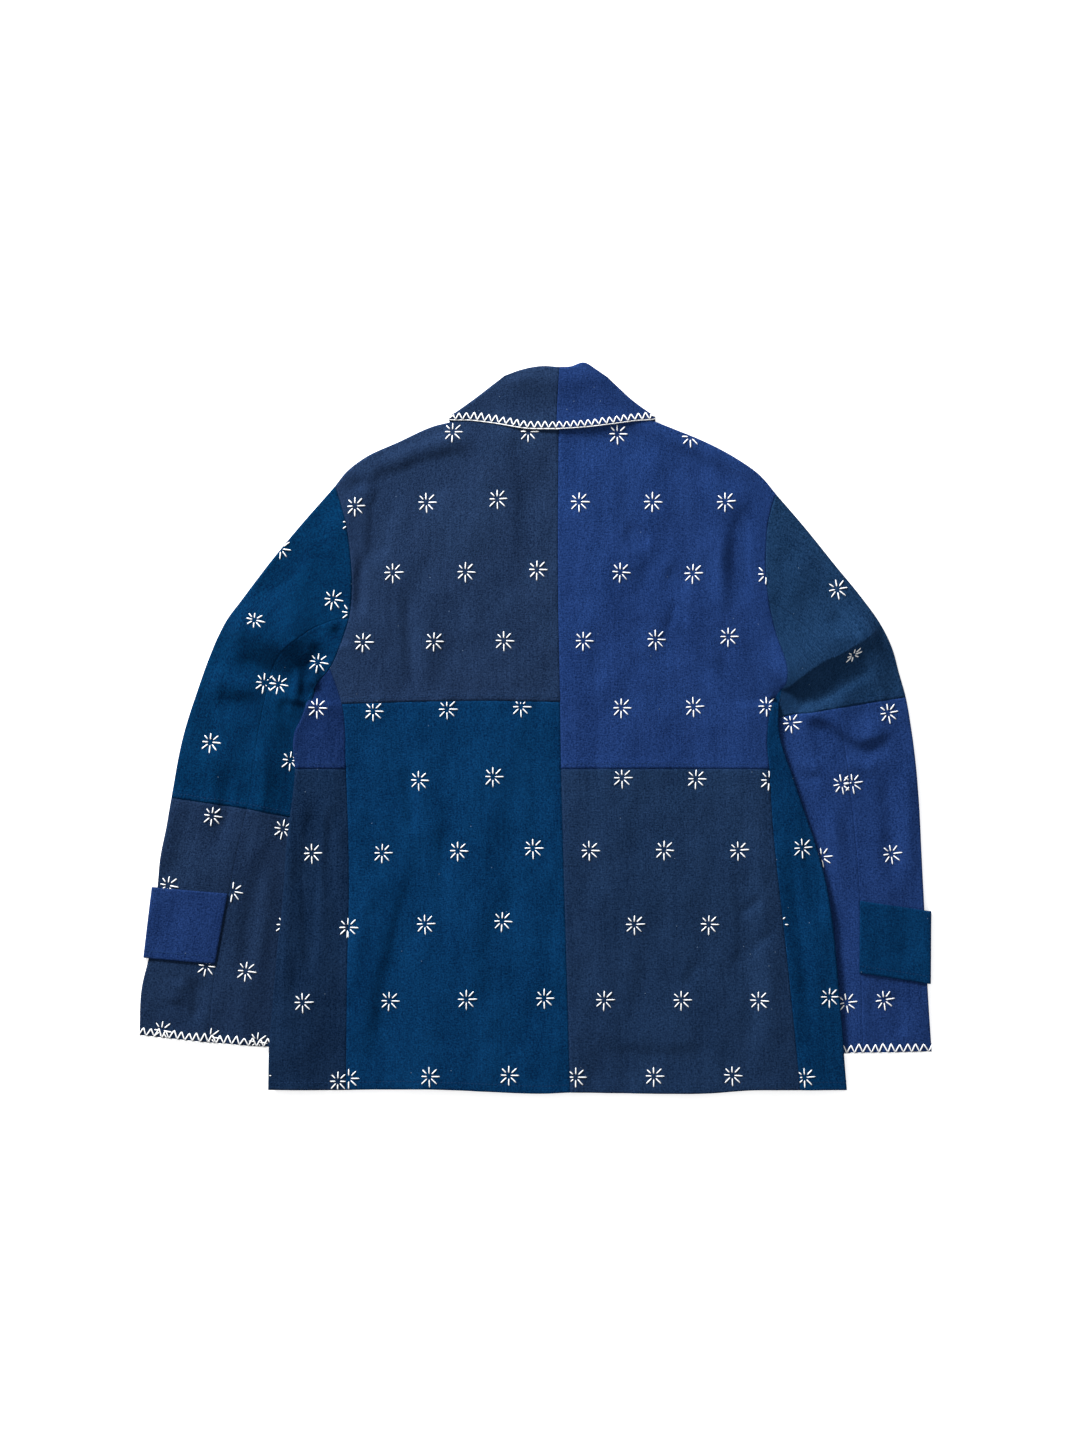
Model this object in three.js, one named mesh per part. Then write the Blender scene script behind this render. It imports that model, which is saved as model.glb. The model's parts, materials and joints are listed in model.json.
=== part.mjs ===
// A patchwork jacket in indigo-dyed cotton and linen, lying flat on its front with its back upwards.
//
// Millimetres. X runs across the jacket, Y from the hem towards the collar and Z up from the surface
// that it lies on. The pieces are drawn in the garment's own plan: x = 0 near the centre back and
// y = 0 at the hem. The finished group is then moved so that its origin is the centre of its base.
//
// Each piece is one cloth wall. Its outer face is a grid of points, four-sided in plan and lifted by
// the height functions below, and its inner face is that grid moved in by the wall. A piece that goes
// round a side or along a sleeve is one grid, which runs over the fold and back underneath. Pieces
// that meet at a seam share that seam's points, each drawn back by half of the seam gap.

import * as THREE from 'three';

// ---- Driving dimensions ----
const WALL = 1.0;           // thickness of the cloth with its seams
const SEAM_GAP = 0.3;       // between two pieces that are sewn together
const LAYER_GAP = 0.5;      // between two layers that lie on each other
const LOFT = 4.6;           // height of the flattened body, and of a sleeve beside it
const TUCKED_LOFT = 3.4;    // height of a sleeve where the body lies over it
const FOLD_REACH = 2.4;     // how far a fold's round edge stands out in plan
const FOLD_STEPS = 4;       // facets round a whole fold
const FOLD_SHARE = 0.8;      // the most of a cell that a fold's round edge takes up
const SLOPE_STEP = 1.5;     // how far to each side a slope is measured

const BODY_LIFT = TUCKED_LOFT + 2 * LAYER_GAP;    // the body's underside over a sleeve
const LAYER_LIFT = WALL + 1.5 * LAYER_GAP;        // the underside of what lies over one layer

// The stretches over which a layer rises on to what lies under it
const RISE_ON_SLEEVE = [-52, -9];     // outwards, past the sleeve's inner edge
const RISE_AT_CUFF = [-10, 45];       // upwards, from below the hem to above the cuff
const RISE_ON_COLLAR = [10, 45];      // outwards from the collar's edge, and down from its end
const RISE_ON_TAB = [12, 40];         // away from the tab's two long edges
const RISE_AT_TAB_SEAM = [-45, -15];  // outwards, to the seam that the tab is caught in
const RISE_AT_UNDERARM = [-15, -2];   // upwards, to the top of the side
const RISE_BESIDE_BODY = [4, 26];     // outwards, from the body's side
const HEM_SHARE = 0.55;               // of the body's lift that is left below the cuffs

const INDIGO = { navy: 0x24375a, teal: 0x08355f, royal: 0x233d74, petrol: 0x203a5d };

// ---- Plan lines ----
// A line is drawn straight from key to key, with `steps` facets between each key and the next.
class Line {
  constructor(steps, keys) {
    this.steps = steps;
    this.keys = keys.map(([x, y]) => new THREE.Vector2(x, y));
  }

  // The shared points of the stretch from one key to another, either way.
  run(from, to) {
    const way = Math.sign(to - from);
    const points = [this.keys[from]];
    for (let k = from; k !== to; k += way) {
      for (let s = 1; s <= this.steps; s++) {
        points.push(this.keys[k].clone().lerp(this.keys[k + way], s / this.steps));
      }
    }
    return points;
  }

  // The same stretch with any number of equal facets, for an edge that is nearly straight.
  spread(from, to, count) {
    const keys = this.keys.slice(Math.min(from, to), Math.max(from, to) + 1);
    const points = new THREE.Path(keys).getSpacedPoints(count);
    return from < to ? points : points.reverse();
  }

  // Where the line is at height y, and its nearer end beyond them.
  crossing(y) {
    const { keys } = this;
    for (let i = 0; i + 1 < keys.length; i++) {
      const [a, b] = [keys[i], keys[i + 1]];
      if ((a.y - y) * (b.y - y) <= 0 && a.y !== b.y) return a.x + ((b.x - a.x) * (y - a.y)) / (b.y - a.y);
    }
    const [first, last] = [keys[0], keys.at(-1)];
    return Math.abs(first.y - y) < Math.abs(last.y - y) ? first.x : last.x;
  }
}

// A straight stretch between two points, in `count` facets.
const straight = (from, to, count) => new Line(count, [from.toArray(), to.toArray()]).run(0, 1);

// A smooth stretch through keys, in `count` facets.
function curved(keys, count) {
  return new THREE.SplineCurve(keys.map(([x, y]) => new THREE.Vector2(x, y))).getPoints(count);
}

// Stretches that follow each other, as one.
const joined = (...runs) => runs.reduce((all, run) => [...all, ...run.slice(1)]);

const centreBack = new Line(1, [[10, -2.4], [7, 108], [3, 245], [1, 321], [0, 388], [-2, 500],
    [-2, 600], [-1, 690]]);
const centreFront = new Line(1, [[4, 0], [2, 235], [-1, 470]]);

// Each side's lines start at the hem, at the underarm or at the armhole. The numbers after a line
// are those of its keys where other lines meet it.
const left = {
  name: 'left',
  hem: new Line(1, [[10, -2.4], [-20, -3.6], [-60, -2.2], [-100, -0.3], [-150, 1], [-214, 0]]),
  side: new Line(1, [[-292, 0], [-291, 43], [-288, 80], [-285, 115], [-282, 147], [-278, 182],
    [-275.5, 216], [-273, 250], [-268, 288], [-265, 321], [-267, 345], [-265, 359], [-260, 369],
    [-256.3, 378], [-253.8, 386], [-252, 392]]),
  sidePatch: 9,
  underarm: 15,
  seam: new Line(3, [[-214, 0], [-213, 107], [-211, 214], [-214, 321], [-218, 386], [-230, 422]]),
  seamSidePatch: 3,
  seamBackPatch: 4,
  seamTop: 5,
  backPatch: 4,
  armhole: new Line(1, [[-252, 392], [-245, 402], [-238, 412], [-230, 422], [-219, 447], [-211, 472],
    [-208, 505], [-210, 538], [-216, 575], [-226, 603]]),
  armSeam: 3,
  armSleeve: 5,
  armTop: 9,
  shoulder: new Line(1, [[-57, 692], [-104, 669.5], [-126, 664], [-162, 648], [-196, 632], [-213, 619],
    [-226, 603]]),
  neck: new Line(1, [[-1, 690], [-30, 691], [-57, 692]]),
  throat: new Line(1, [[-1, 470], [-24, 540], [-41, 600], [-51, 650], [-57, 692]]),
  outer: new Line(1, [[-226, 603], [-256, 569], [-290, 528], [-318, 491], [-333, 471], [-342, 454],
    [-352, 430], [-363, 399], [-376, 358], [-389, 292], [-394, 262], [-400, 232], [-403, 200],
    [-411.5, 132], [-418, 105], [-421, 54.5]]),
  sleeveSeam: new Line(1, [[-211, 472], [-225, 470], [-240, 465], [-255, 458], [-268, 449], [-279, 438],
    [-287, 424], [-294, 396], [-303, 350], [-313, 281], [-318, 260], [-324, 232], [-331, 196],
    [-343, 129], [-347, 102], [-352, 47.5]]),
  inner: new Line(1, [[-252, 392], [-255.8, 390.8], [-258.6, 387.6], [-260.2, 383.4], [-260.3, 378.5],
    [-258.8, 373], [-254.5, 363], [-249, 349], [-243, 320], [-238, 266], [-240, 250], [-243, 232],
    [-248, 196], [-258, 132], [-263, 102], [-272, 41]]),
  sleevePatch: 9,
  cuff: 15,
  tab: { top: [[-332, 196.6], [-408.5, 203]], bottom: [[-345, 126.2], [-417, 132.3]] },
  collarFold: [[-56, 714.5], [-84, 692.5], [-112, 672.5]],
  collarRoll: [[-1, 723], [-17, 724], [-40, 720], [-56, 714.5]],
  collarEdge: [[-4, 661], [-33, 661.6], [-69, 667.5], [-112, 672.5]],
  lapelRoll: [[-56, 714.5], [-56, 690], [-50, 650], [-40, 600], [-23, 540], [-2, 474]],
  lapelEdge: new Line(1, [[-112, 672.5], [-109, 640], [-98, 600], [-75, 550], [-40, 500], [-3, 455]]),
};
const right = {
  name: 'right',
  hem: new Line(1, [[10, -2.4], [60, -3.2], [110, -3.8], [155, -3], [185, -0.6], [240, 0]]),
  side: new Line(1, [[287, 0], [284, 35], [281, 75], [277, 122], [272.5, 168], [266, 207], [254, 250],
    [242, 285], [231, 318], [224, 338], [220, 353], [218.6, 367], [218.6, 378], [219.4, 386],
    [221, 391]]),
  underarm: 14,
  seam: new Line(2, [[240, 0], [233, 70], [223, 165], [214, 246], [209, 321], [207, 350], [211, 380],
    [222, 403]]),
  seamBackPatch: 4,
  seamTop: 7,
  backPatch: 3,
  armhole: new Line(1, [[221, 391], [221.6, 395], [222, 399], [222, 403], [224, 425], [215, 460],
    [209, 488], [206, 515], [206, 545], [209, 572], [217, 595]]),
  armSeam: 3,
  armSleeve: 6,
  armTop: 10,
  shoulder: new Line(1, [[57, 692], [88, 671.5], [108, 663.5], [146, 648], [176, 632], [200, 615],
    [217, 595]]),
  neck: new Line(1, [[-1, 690], [30, 691], [57, 692]]),
  throat: new Line(1, [[-1, 470], [22, 540], [40, 600], [51, 650], [57, 692]]),
  outer: new Line(1, [[217, 595], [243, 565], [276, 524], [303, 491], [318, 470], [326, 456],
    [333, 440], [339, 418], [346, 393], [351, 365], [355, 335], [359, 290], [362, 232], [364.5, 180],
    [367.5, 106], [372, 38.5]]),
  sleeveSeam: new Line(1, [[209, 488], [225, 480], [241, 467], [256, 454], [268, 443], [272, 431],
    [273, 415], [275, 398], [278, 382], [283, 355], [287, 325], [291, 290], [297, 232], [300, 186],
    [301, 112], [303, 37]]),
  inner: new Line(1, [[221, 391], [224.4, 389.8], [226.6, 387.4], [227.8, 384.4], [227.8, 381.2],
    [226.8, 378], [225, 375], [222.6, 372], [219.5, 369], [214, 358], [209, 340], [205, 300],
    [208, 240], [212, 190], [219, 112], [226, 35.5]]),
  sleevePatch: 8,
  cuff: 15,
  tab: { top: [[299.5, 189.4], [371.5, 178.8]], bottom: [[299, 117.4], [371, 106.2]] },
  collarFold: [[48, 713], [73, 689.5], [96, 673]],
  collarRoll: [[-1, 723], [10, 723.5], [24, 727.5], [36, 721], [48, 713]],
  collarEdge: [[-4, 661], [26, 663], [65, 668], [96, 673]],
  lapelRoll: [[48, 713], [55, 690], [50, 650], [39, 600], [21, 540], [0, 474]],
  lapelEdge: new Line(1, [[96, 673], [102, 640], [95, 600], [73, 550], [38, 500], [1, 455]]),
};

// ---- Heights ----
const smooth = (from, to, v) => THREE.MathUtils.smoothstep((v - from) / (to - from), 0, 1);

// A fold is a ridge, or a trough where its height is negative, along a line in the plan. `near` is
// its width to the left of the line's way, and `far` its width to the right.
const folds = [
  { keys: [[-340, 470], [-318, 467], [-298, 460], [-272, 454], [-250, 454]], height: 8, near: 28, far: 20 },
  { keys: [[-356, 410], [-326, 405], [-296, 398]], height: 3.5, near: 16, far: 14 },
  { keys: [[-332, 430], [-302, 420], [-270, 410]], height: -1.2, near: 14, far: 18 },
  { keys: [[-190, 600], [-193, 550], [-190, 520]], height: -1.4, near: 14, far: 14 },
  { keys: [[-150, 232], [-168, 178], [-191, 72], [-202, 16]], height: -1.4, near: 18, far: 18 },
  { keys: [[240, 414], [252, 426], [266, 436], [292, 450], [318, 462]], height: 8, near: 28, far: 14 },
  { keys: [[240, 380], [276, 368], [302, 352], [340, 362]], height: 3.5, near: 14, far: 12 },
  { keys: [[184, 590], [181, 545], [186, 490]], height: -1.4, near: 14, far: 14 },
].map((fold) => ({ ...fold, keys: fold.keys.map(([x, y]) => new THREE.Vector2(x, y)) }));

function foldHeight(x, y) {
  const point = new THREE.Vector2(x, y);
  let sum = 0;
  for (const { keys, height, near, far } of folds) {
    let nearest = Infinity;
    let place = 0;
    for (let i = 0; i + 1 < keys.length; i++) {
      const along = keys[i + 1].clone().sub(keys[i]);
      const off = point.clone().sub(keys[i]);
      const t = THREE.MathUtils.clamp(off.dot(along) / along.lengthSq(), 0, 1);
      const away = off.clone().addScaledVector(along, -t).length();
      const ratio = away / (along.cross(off) > 0 ? near : far);
      if (ratio < nearest) {
        nearest = ratio;
        place = (i + t) / (keys.length - 1);
      }
    }
    const ends = 0.35 + 0.65 * Math.sin(Math.PI * place);
    sum += height * ends * Math.exp(-nearest * nearest);
  }
  return sum;
}

const sideOf = (x) => (x < 0 ? left : right);

// One below the underarm and none above it, over the first few millimetres of the side.
function belowUnderarm(side, y) {
  return 1 - smooth(...RISE_AT_UNDERARM, y - side.side.keys[side.underarm].y);
}

// How much of its lift the body has at a place: whole over a sleeve and none well inside of it.
function overSleeve(x, y) {
  const side = sideOf(x);
  const past = Math.abs(x) - Math.abs(side.inner.crossing(y));
  const hem = THREE.MathUtils.lerp(HEM_SHARE, 1, smooth(...RISE_AT_CUFF, y));
  return smooth(...RISE_ON_SLEEVE, past) * belowUnderarm(side, y) * hem;
}

function overCollar(x, y) {
  const { lapelEdge } = sideOf(x);
  const outside = Math.abs(x) - Math.abs(lapelEdge.crossing(y));
  const below = lapelEdge.keys.at(-1).y - y;
  return (1 - smooth(...RISE_ON_COLLAR, outside)) * (1 - smooth(...RISE_ON_COLLAR, below));
}

const bodyUnder = (x, y) => Math.max(BODY_LIFT * overSleeve(x, y), LAYER_LIFT * overCollar(x, y));
const bodyOver = (x, y) => LOFT + BODY_LIFT * overSleeve(x, y) + foldHeight(x, y);

function overTab({ tab }, x, y) {
  const [[innerX, innerY], [outerX, outerY]] = tab.top;
  const slope = (outerY - innerY) / (outerX - innerX);
  const half = (innerY - tab.bottom[0][1]) / 2;
  const middle = innerY - half + slope * (x - innerX);
  const along = 1 - smooth(...RISE_ON_TAB, Math.abs(y - middle) - half);
  return along * smooth(...RISE_AT_TAB_SEAM, Math.abs(x) - Math.abs(innerX));
}

const sleeveUnder = (side) => (x, y) => LAYER_LIFT * overTab(side, x, y);
const sleeveOver = (side) => (x, y) => {
  const outside = Math.abs(x) - Math.abs(side.side.crossing(y));
  const tucked = belowUnderarm(side, y) * (1 - smooth(...RISE_BESIDE_BODY, outside));
  return THREE.MathUtils.lerp(LOFT + foldHeight(x, y), TUCKED_LOFT, tucked);
};

// ---- Grids ----
// The plan of a piece between four edges: `near` and `far` are its first and last rows, and `start`
// and `end` join their ends.
function patch(near, far, start, end) {
  const columns = near.length - 1;
  const rows = start.length - 1;
  const blend = (a, b, t) => a.clone().lerp(b, t);
  return start.map((_, j) => {
    const v = j / rows;
    return near.map((__, i) => {
      const u = i / columns;
      const corners = blend(blend(near[0], near[columns], u), blend(far[0], far[columns], u), v);
      return blend(near[i], far[i], v).add(blend(start[j], end[j], u)).sub(corners);
    });
  });
}

// A place on the cloth: where its outer face is, and which way that faces.
function place(plan, height, way) {
  const rise = (dx, dy) => height(plan.x + dx, plan.y + dy) - height(plan.x - dx, plan.y - dy);
  const facing = new THREE.Vector3(-rise(SLOPE_STEP, 0), -rise(0, SLOPE_STEP), 2 * SLOPE_STEP);
  return {
    at: new THREE.Vector3(plan.x, plan.y, height(plan.x, plan.y)),
    facing: facing.setLength(way),
  };
}

// The round of a fold that ends a run of plan points: `base` is where the flat cloth stops, and
// turn(angle) is a place on the round, from a quarter turn at the top to minus that underneath.
function roundOf(before, edge, over, under) {
  const outward = edge.clone().sub(before);
  const reach = Math.min(FOLD_REACH, FOLD_SHARE * outward.length());
  outward.normalize();
  const base = edge.clone().addScaledVector(outward, -reach);
  const low = under(base.x, base.y);
  const half = (over(base.x, base.y) - low) / 2;
  const turn = (angle) => {
    const plan = base.clone().addScaledVector(outward, reach * Math.cos(angle));
    const across = outward.clone().multiplyScalar(Math.cos(angle) / reach);
    return {
      at: new THREE.Vector3(plan.x, plan.y, low + half + half * Math.sin(angle)),
      facing: new THREE.Vector3(across.x, across.y, Math.sin(angle) / half).normalize(),
    };
  };
  return { base, turn };
}

// A piece that runs along the top to a fold, round it, and back underneath.
function foldedPiece(topPlan, over, under, bottomPlan = topPlan.map((row) => [...row].reverse())) {
  return topPlan.map((row, j) => {
    const { base, turn } = roundOf(row.at(-2), row.at(-1), over, under);
    const top = [...row.slice(0, -1), base].map((plan) => place(plan, over, 1));
    const bottom = [base, ...bottomPlan[j].slice(1)].map((plan) => place(plan, under, -1));
    const round = Array.from({ length: FOLD_STEPS - 1 }, (_, s) =>
      turn(Math.PI / 2 - (Math.PI * (s + 1)) / FOLD_STEPS));
    return [...top, ...round, ...bottom];
  });
}

// A flat piece whose last row turns over the shoulder to its middle. The first `straight` columns
// are the neck's, where the cloth stays level.
function shoulderPiece(plan, over, under, way, straight) {
  const height = way > 0 ? over : under;
  const rows = plan.map((row) => row.map((point) => place(point, height, way)));
  const last = plan.length - 1;
  const rounds = plan[last].map((edge, i) => roundOf(plan[last - 1][i], edge, over, under));
  rows[last] = rounds.map(({ base }) => place(base, height, way));
  for (let s = 1; s <= FOLD_STEPS / 2; s++) {
    const angle = way * (Math.PI / 2 - (Math.PI * s) / FOLD_STEPS);
    rows.push(rounds.map(({ turn }, i) => {
      const turned = turn(angle);
      return i < straight ? place(new THREE.Vector2(turned.at.x, turned.at.y), height, way) : turned;
    }));
  }
  return rows;
}

// ---- Cloth walls ----
// Draws each edge of a grid back by half of the seam gap, within the cloth and no lower than the
// surface that it lies on.
function drawnBack(grid) {
  const moves = grid.map((row) => row.map(() => new THREE.Vector3()));
  const rows = grid.length - 1;
  const columns = grid[0].length - 1;
  const clampTo = (v, most) => THREE.MathUtils.clamp(v, 0, most);
  const draw = (j, i, inJ, inI) => {
    const here = grid[j][i].at;
    const [stepJ, stepI] = [Math.abs(inI), Math.abs(inJ)];
    const along = grid[clampTo(j + stepJ, rows)][clampTo(i + stepI, columns)].at.clone()
      .sub(grid[clampTo(j - stepJ, rows)][clampTo(i - stepI, columns)].at).normalize();
    const inward = grid[j + inJ][i + inI].at.clone().sub(here);
    inward.addScaledVector(along, -inward.dot(along)).setLength(SEAM_GAP / 2);
    moves[j][i].add(inward);
  };
  for (let i = 0; i <= columns; i++) {
    draw(0, i, 1, 0);
    draw(rows, i, -1, 0);
  }
  for (let j = 0; j <= rows; j++) {
    draw(j, 0, 0, 1);
    draw(j, columns, 0, -1);
  }
  return grid.map((row, j) => row.map(({ at, facing }, i) => {
    const moved = at.clone().add(moves[j][i]);
    moved.z = Math.max(moved.z, 0);
    return { at: moved, facing };
  }));
}

const jacket = new THREE.Group();

function cloth(name, colour, grid) {
  const wide = grid[0].length;
  const places = drawnBack(grid).flat();
  const inner = places.map(({ at, facing }) => at.clone().addScaledVector(facing, -WALL));
  const points = [...places.map(({ at }) => at), ...inner];
  const under = places.length;
  const faces = [];
  const quad = (a, b, c, d) => faces.push(a, b, c, a, c, d);
  const rows = grid.length - 1;
  const columns = wide - 1;
  const id = (j, i) => j * wide + i;
  for (let j = 0; j < rows; j++) {
    for (let i = 0; i < columns; i++) {
      quad(id(j, i), id(j, i + 1), id(j + 1, i + 1), id(j + 1, i));
      quad(under + id(j, i), under + id(j + 1, i), under + id(j + 1, i + 1), under + id(j, i + 1));
    }
  }
  const rim = [];
  for (let i = 0; i < columns; i++) rim.push(id(0, i));
  for (let j = 0; j < rows; j++) rim.push(id(j, columns));
  for (let i = columns; i > 0; i--) rim.push(id(rows, i));
  for (let j = rows; j > 0; j--) rim.push(id(j, 0));
  rim.forEach((a, k) => {
    const b = rim[(k + 1) % rim.length];
    quad(b, a, under + a, under + b);
  });
  if (enclosed(points, faces) < 0) faces.reverse();
  const geometry = new THREE.BufferGeometry();
  const numbers = points.flatMap((p) => p.toArray());
  geometry.setAttribute('position', new THREE.Float32BufferAttribute(numbers, 3));
  geometry.setIndex(faces);
  geometry.computeVertexNormals();
  const material = new THREE.MeshStandardMaterial({ color: colour, roughness: 0.95, metalness: 0 });
  material.name = `${name}_cloth`;
  const mesh = new THREE.Mesh(geometry, material);
  mesh.name = name;
  jacket.add(mesh);
}

// Six times the volume that the faces enclose, negative where they face inwards.
function enclosed(points, faces) {
  let sum = 0;
  for (let f = 0; f < faces.length; f += 3) {
    const [a, b, c] = [points[faces[f]], points[faces[f + 1]], points[faces[f + 2]]];
    sum += a.dot(b.clone().cross(c));
  }
  return sum;
}

// ---- The back: two patches on each side of the centre seam ----
function backPanels(side, lowerColour, upperColour) {
  const { seam, armhole, shoulder, neck, seamBackPatch, seamTop, armSeam, armTop, backPatch } = side;
  const top = joined(neck.run(0, 2), shoulder.run(0, 6));
  const columns = top.length - 1;
  const hem = side.hem.spread(0, side.hem.keys.length - 1, columns);
  const middle = straight(centreBack.keys[backPatch], seam.keys[seamBackPatch], columns);
  const lowerSide = seam.run(0, seamBackPatch);
  const upperSide = joined(seam.run(seamBackPatch, seamTop), armhole.run(armSeam, armTop));
  const lowerCentre = centreBack.spread(0, backPatch, lowerSide.length - 1);
  const upperCentre = centreBack.spread(backPatch, 7, upperSide.length - 1);
  const lower = patch(hem, middle, lowerCentre, lowerSide);
  const upper = patch(middle, top, upperCentre, upperSide);
  cloth(`back_lower_${side.name}`, lowerColour, lower.map((row) => row.map((p) => place(p, bodyOver, 1))));
  cloth(`back_upper_${side.name}`, upperColour, shoulderPiece(upper, bodyOver, bodyUnder, 1, 2));
}

// ---- Side panels: from the back's side seam, round the side and back to the front's ----
function sidePanel(side, name, colour, [seamFrom, seamTo], [sideFrom, sideTo]) {
  const columns = side.armSeam;
  const across = (seamKey, sideKey) => straight(side.seam.keys[seamKey], side.side.keys[sideKey], columns);
  const start = side.seam.run(seamFrom, seamTo);
  const end = side.side.run(sideFrom, sideTo);
  const near = across(seamFrom, sideFrom);
  const far = seamTo === side.seamTop ? side.armhole.run(side.armSeam, 0) : across(seamTo, sideTo);
  cloth(name, colour, foldedPiece(patch(near, far, start, end), bodyOver, bodyUnder));
}

// ---- The fronts, which lie underneath and meet edge to edge ----
function frontPanel(side, colour) {
  const { seam, armhole, shoulder, throat, seamTop, armSeam, armTop } = side;
  const top = shoulder.run(0, 6);
  const hem = straight(centreFront.keys[0], seam.keys[0], top.length - 1);
  const lowerSide = seam.run(0, seamTop);
  const upperSide = armhole.run(armSeam, armTop);
  const edge = centreFront.spread(0, 2, lowerSide.length - 1);
  const centre = joined(edge, throat.spread(0, 4, upperSide.length - 1));
  const plan = patch(hem, top, centre, joined(lowerSide, upperSide));
  cloth(`front_${side.name}`, colour, shoulderPiece(plan, bodyOver, bodyUnder, -1, 0));
}

// ---- Sleeves: an outer and an inner piece, each in two patches along the arm ----
function sleeve(side, upperColour, lowerColour) {
  const { name, outer, inner, sleeveSeam, armhole, armSleeve, armTop, sleevePatch, cuff } = side;
  const over = sleeveOver(side);
  const under = sleeveUnder(side);
  const half = (label, fold, armRun) => {
    const columns = armRun.length - 1;
    const across = (key) => straight(sleeveSeam.keys[key], fold.keys[key], columns);
    const stretch = (from, to, near) =>
      patch(near, across(to), sleeveSeam.run(from, to), fold.run(from, to));
    const upper = stretch(0, sleevePatch, armRun);
    const lower = stretch(sleevePatch, cuff, across(sleevePatch));
    cloth(`sleeve_${name}_${label}_upper`, upperColour, foldedPiece(upper, over, under));
    cloth(`sleeve_${name}_${label}_lower`, lowerColour, foldedPiece(lower, over, under));
  };
  half('outer', outer, armhole.run(armSleeve, armTop));
  half('inner', inner, armhole.run(armSleeve, 0));
}

// ---- Cuff tabs: caught in the sleeve's back seam and taken round its outer edge ----
function cuffTab(side, colour) {
  const rows = 3;
  const columns = 4;
  const [top, bottom] = [side.tab.top, side.tab.bottom].map((edge) => curved(edge, columns));
  const seam = straight(top[0], bottom[0], rows);
  const plan = patch(top, bottom, seam, straight(top.at(-1), bottom.at(-1), rows));
  const over = (x, y) => sleeveOver(side)(x, y) + LAYER_GAP + WALL;
  cloth(`cuff_tab_${side.name}`, colour, foldedPiece(plan, over, () => 0));
}

// ---- The turned-down collar: over the back, round the shoulder and down the front's edge ----
const COLLAR_TOP = LOFT + LAYER_GAP + WALL;

function collar(side, colour) {
  const rows = 4;
  const across = 4;
  const down = 9;
  const fold = curved(side.collarFold, rows);
  const roll = curved(side.collarRoll, across);
  const outer = curved(side.collarEdge, across);
  const lapelRoll = curved(side.lapelRoll, down);
  const lapelEdge = side.lapelEdge.spread(0, 5, down);
  const top = patch(roll, outer, straight(roll[0], outer[0], rows), fold);
  const bottom = patch(lapelRoll, lapelEdge, fold, straight(lapelRoll.at(-1), lapelEdge.at(-1), rows));
  cloth(`collar_${side.name}`, colour, foldedPiece(top, () => COLLAR_TOP, () => 0, bottom));
}

// ---- The collar's stand, from the neckline up to the roll inside the collar ----
function collarStand(colour) {
  const bottom = joined(left.neck.run(2, 0), right.neck.run(0, 2));
  const top = curved([[-52, 710], [-20, 719], [0, 719], [22, 721], [45, 710]], bottom.length - 1);
  const plan = patch(bottom, top, [bottom[0], top[0]], [bottom.at(-1), top.at(-1)]);
  cloth('collar_stand', colour, plan.map((row) => row.map((p) => place(p, () => LOFT, 1))));
}

backPanels(left, INDIGO.teal, INDIGO.navy);
backPanels(right, INDIGO.navy, INDIGO.royal);
sidePanel(left, 'side_left_lower', INDIGO.navy, [0, left.seamSidePatch], [0, left.sidePatch]);
sidePanel(left, 'side_left_upper', INDIGO.royal, [left.seamSidePatch, left.seamTop],
  [left.sidePatch, left.underarm]);
sidePanel(right, 'side_right', INDIGO.teal, [0, right.seamTop], [0, right.underarm]);
frontPanel(left, INDIGO.royal);
frontPanel(right, INDIGO.navy);
sleeve(left, INDIGO.teal, INDIGO.navy);
sleeve(right, INDIGO.petrol, INDIGO.royal);
cuffTab(left, INDIGO.royal);
cuffTab(right, INDIGO.teal);
collar(left, INDIGO.navy);
collar(right, INDIGO.royal);
collarStand(INDIGO.navy);

const centre = new THREE.Box3().setFromObject(jacket).getCenter(new THREE.Vector3());
jacket.position.set(-centre.x, -centre.y, 0);

export default jacket;
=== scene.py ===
"""Looks of a patchwork jacket in indigo cloth, lying flat on its front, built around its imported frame.

The cloth is drawn in the garment's own plan, in millimetres: x = 0 near the centre back and y = 0 at
the hem, with the plan lines that the construction has. Each piece is a fine grid of that plan, lifted
by the height functions, and is then moved into the frame, in metres. A piece that goes round a side or
along a sleeve is one grid, over the fold and back underneath.
"""

import json
import math

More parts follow.
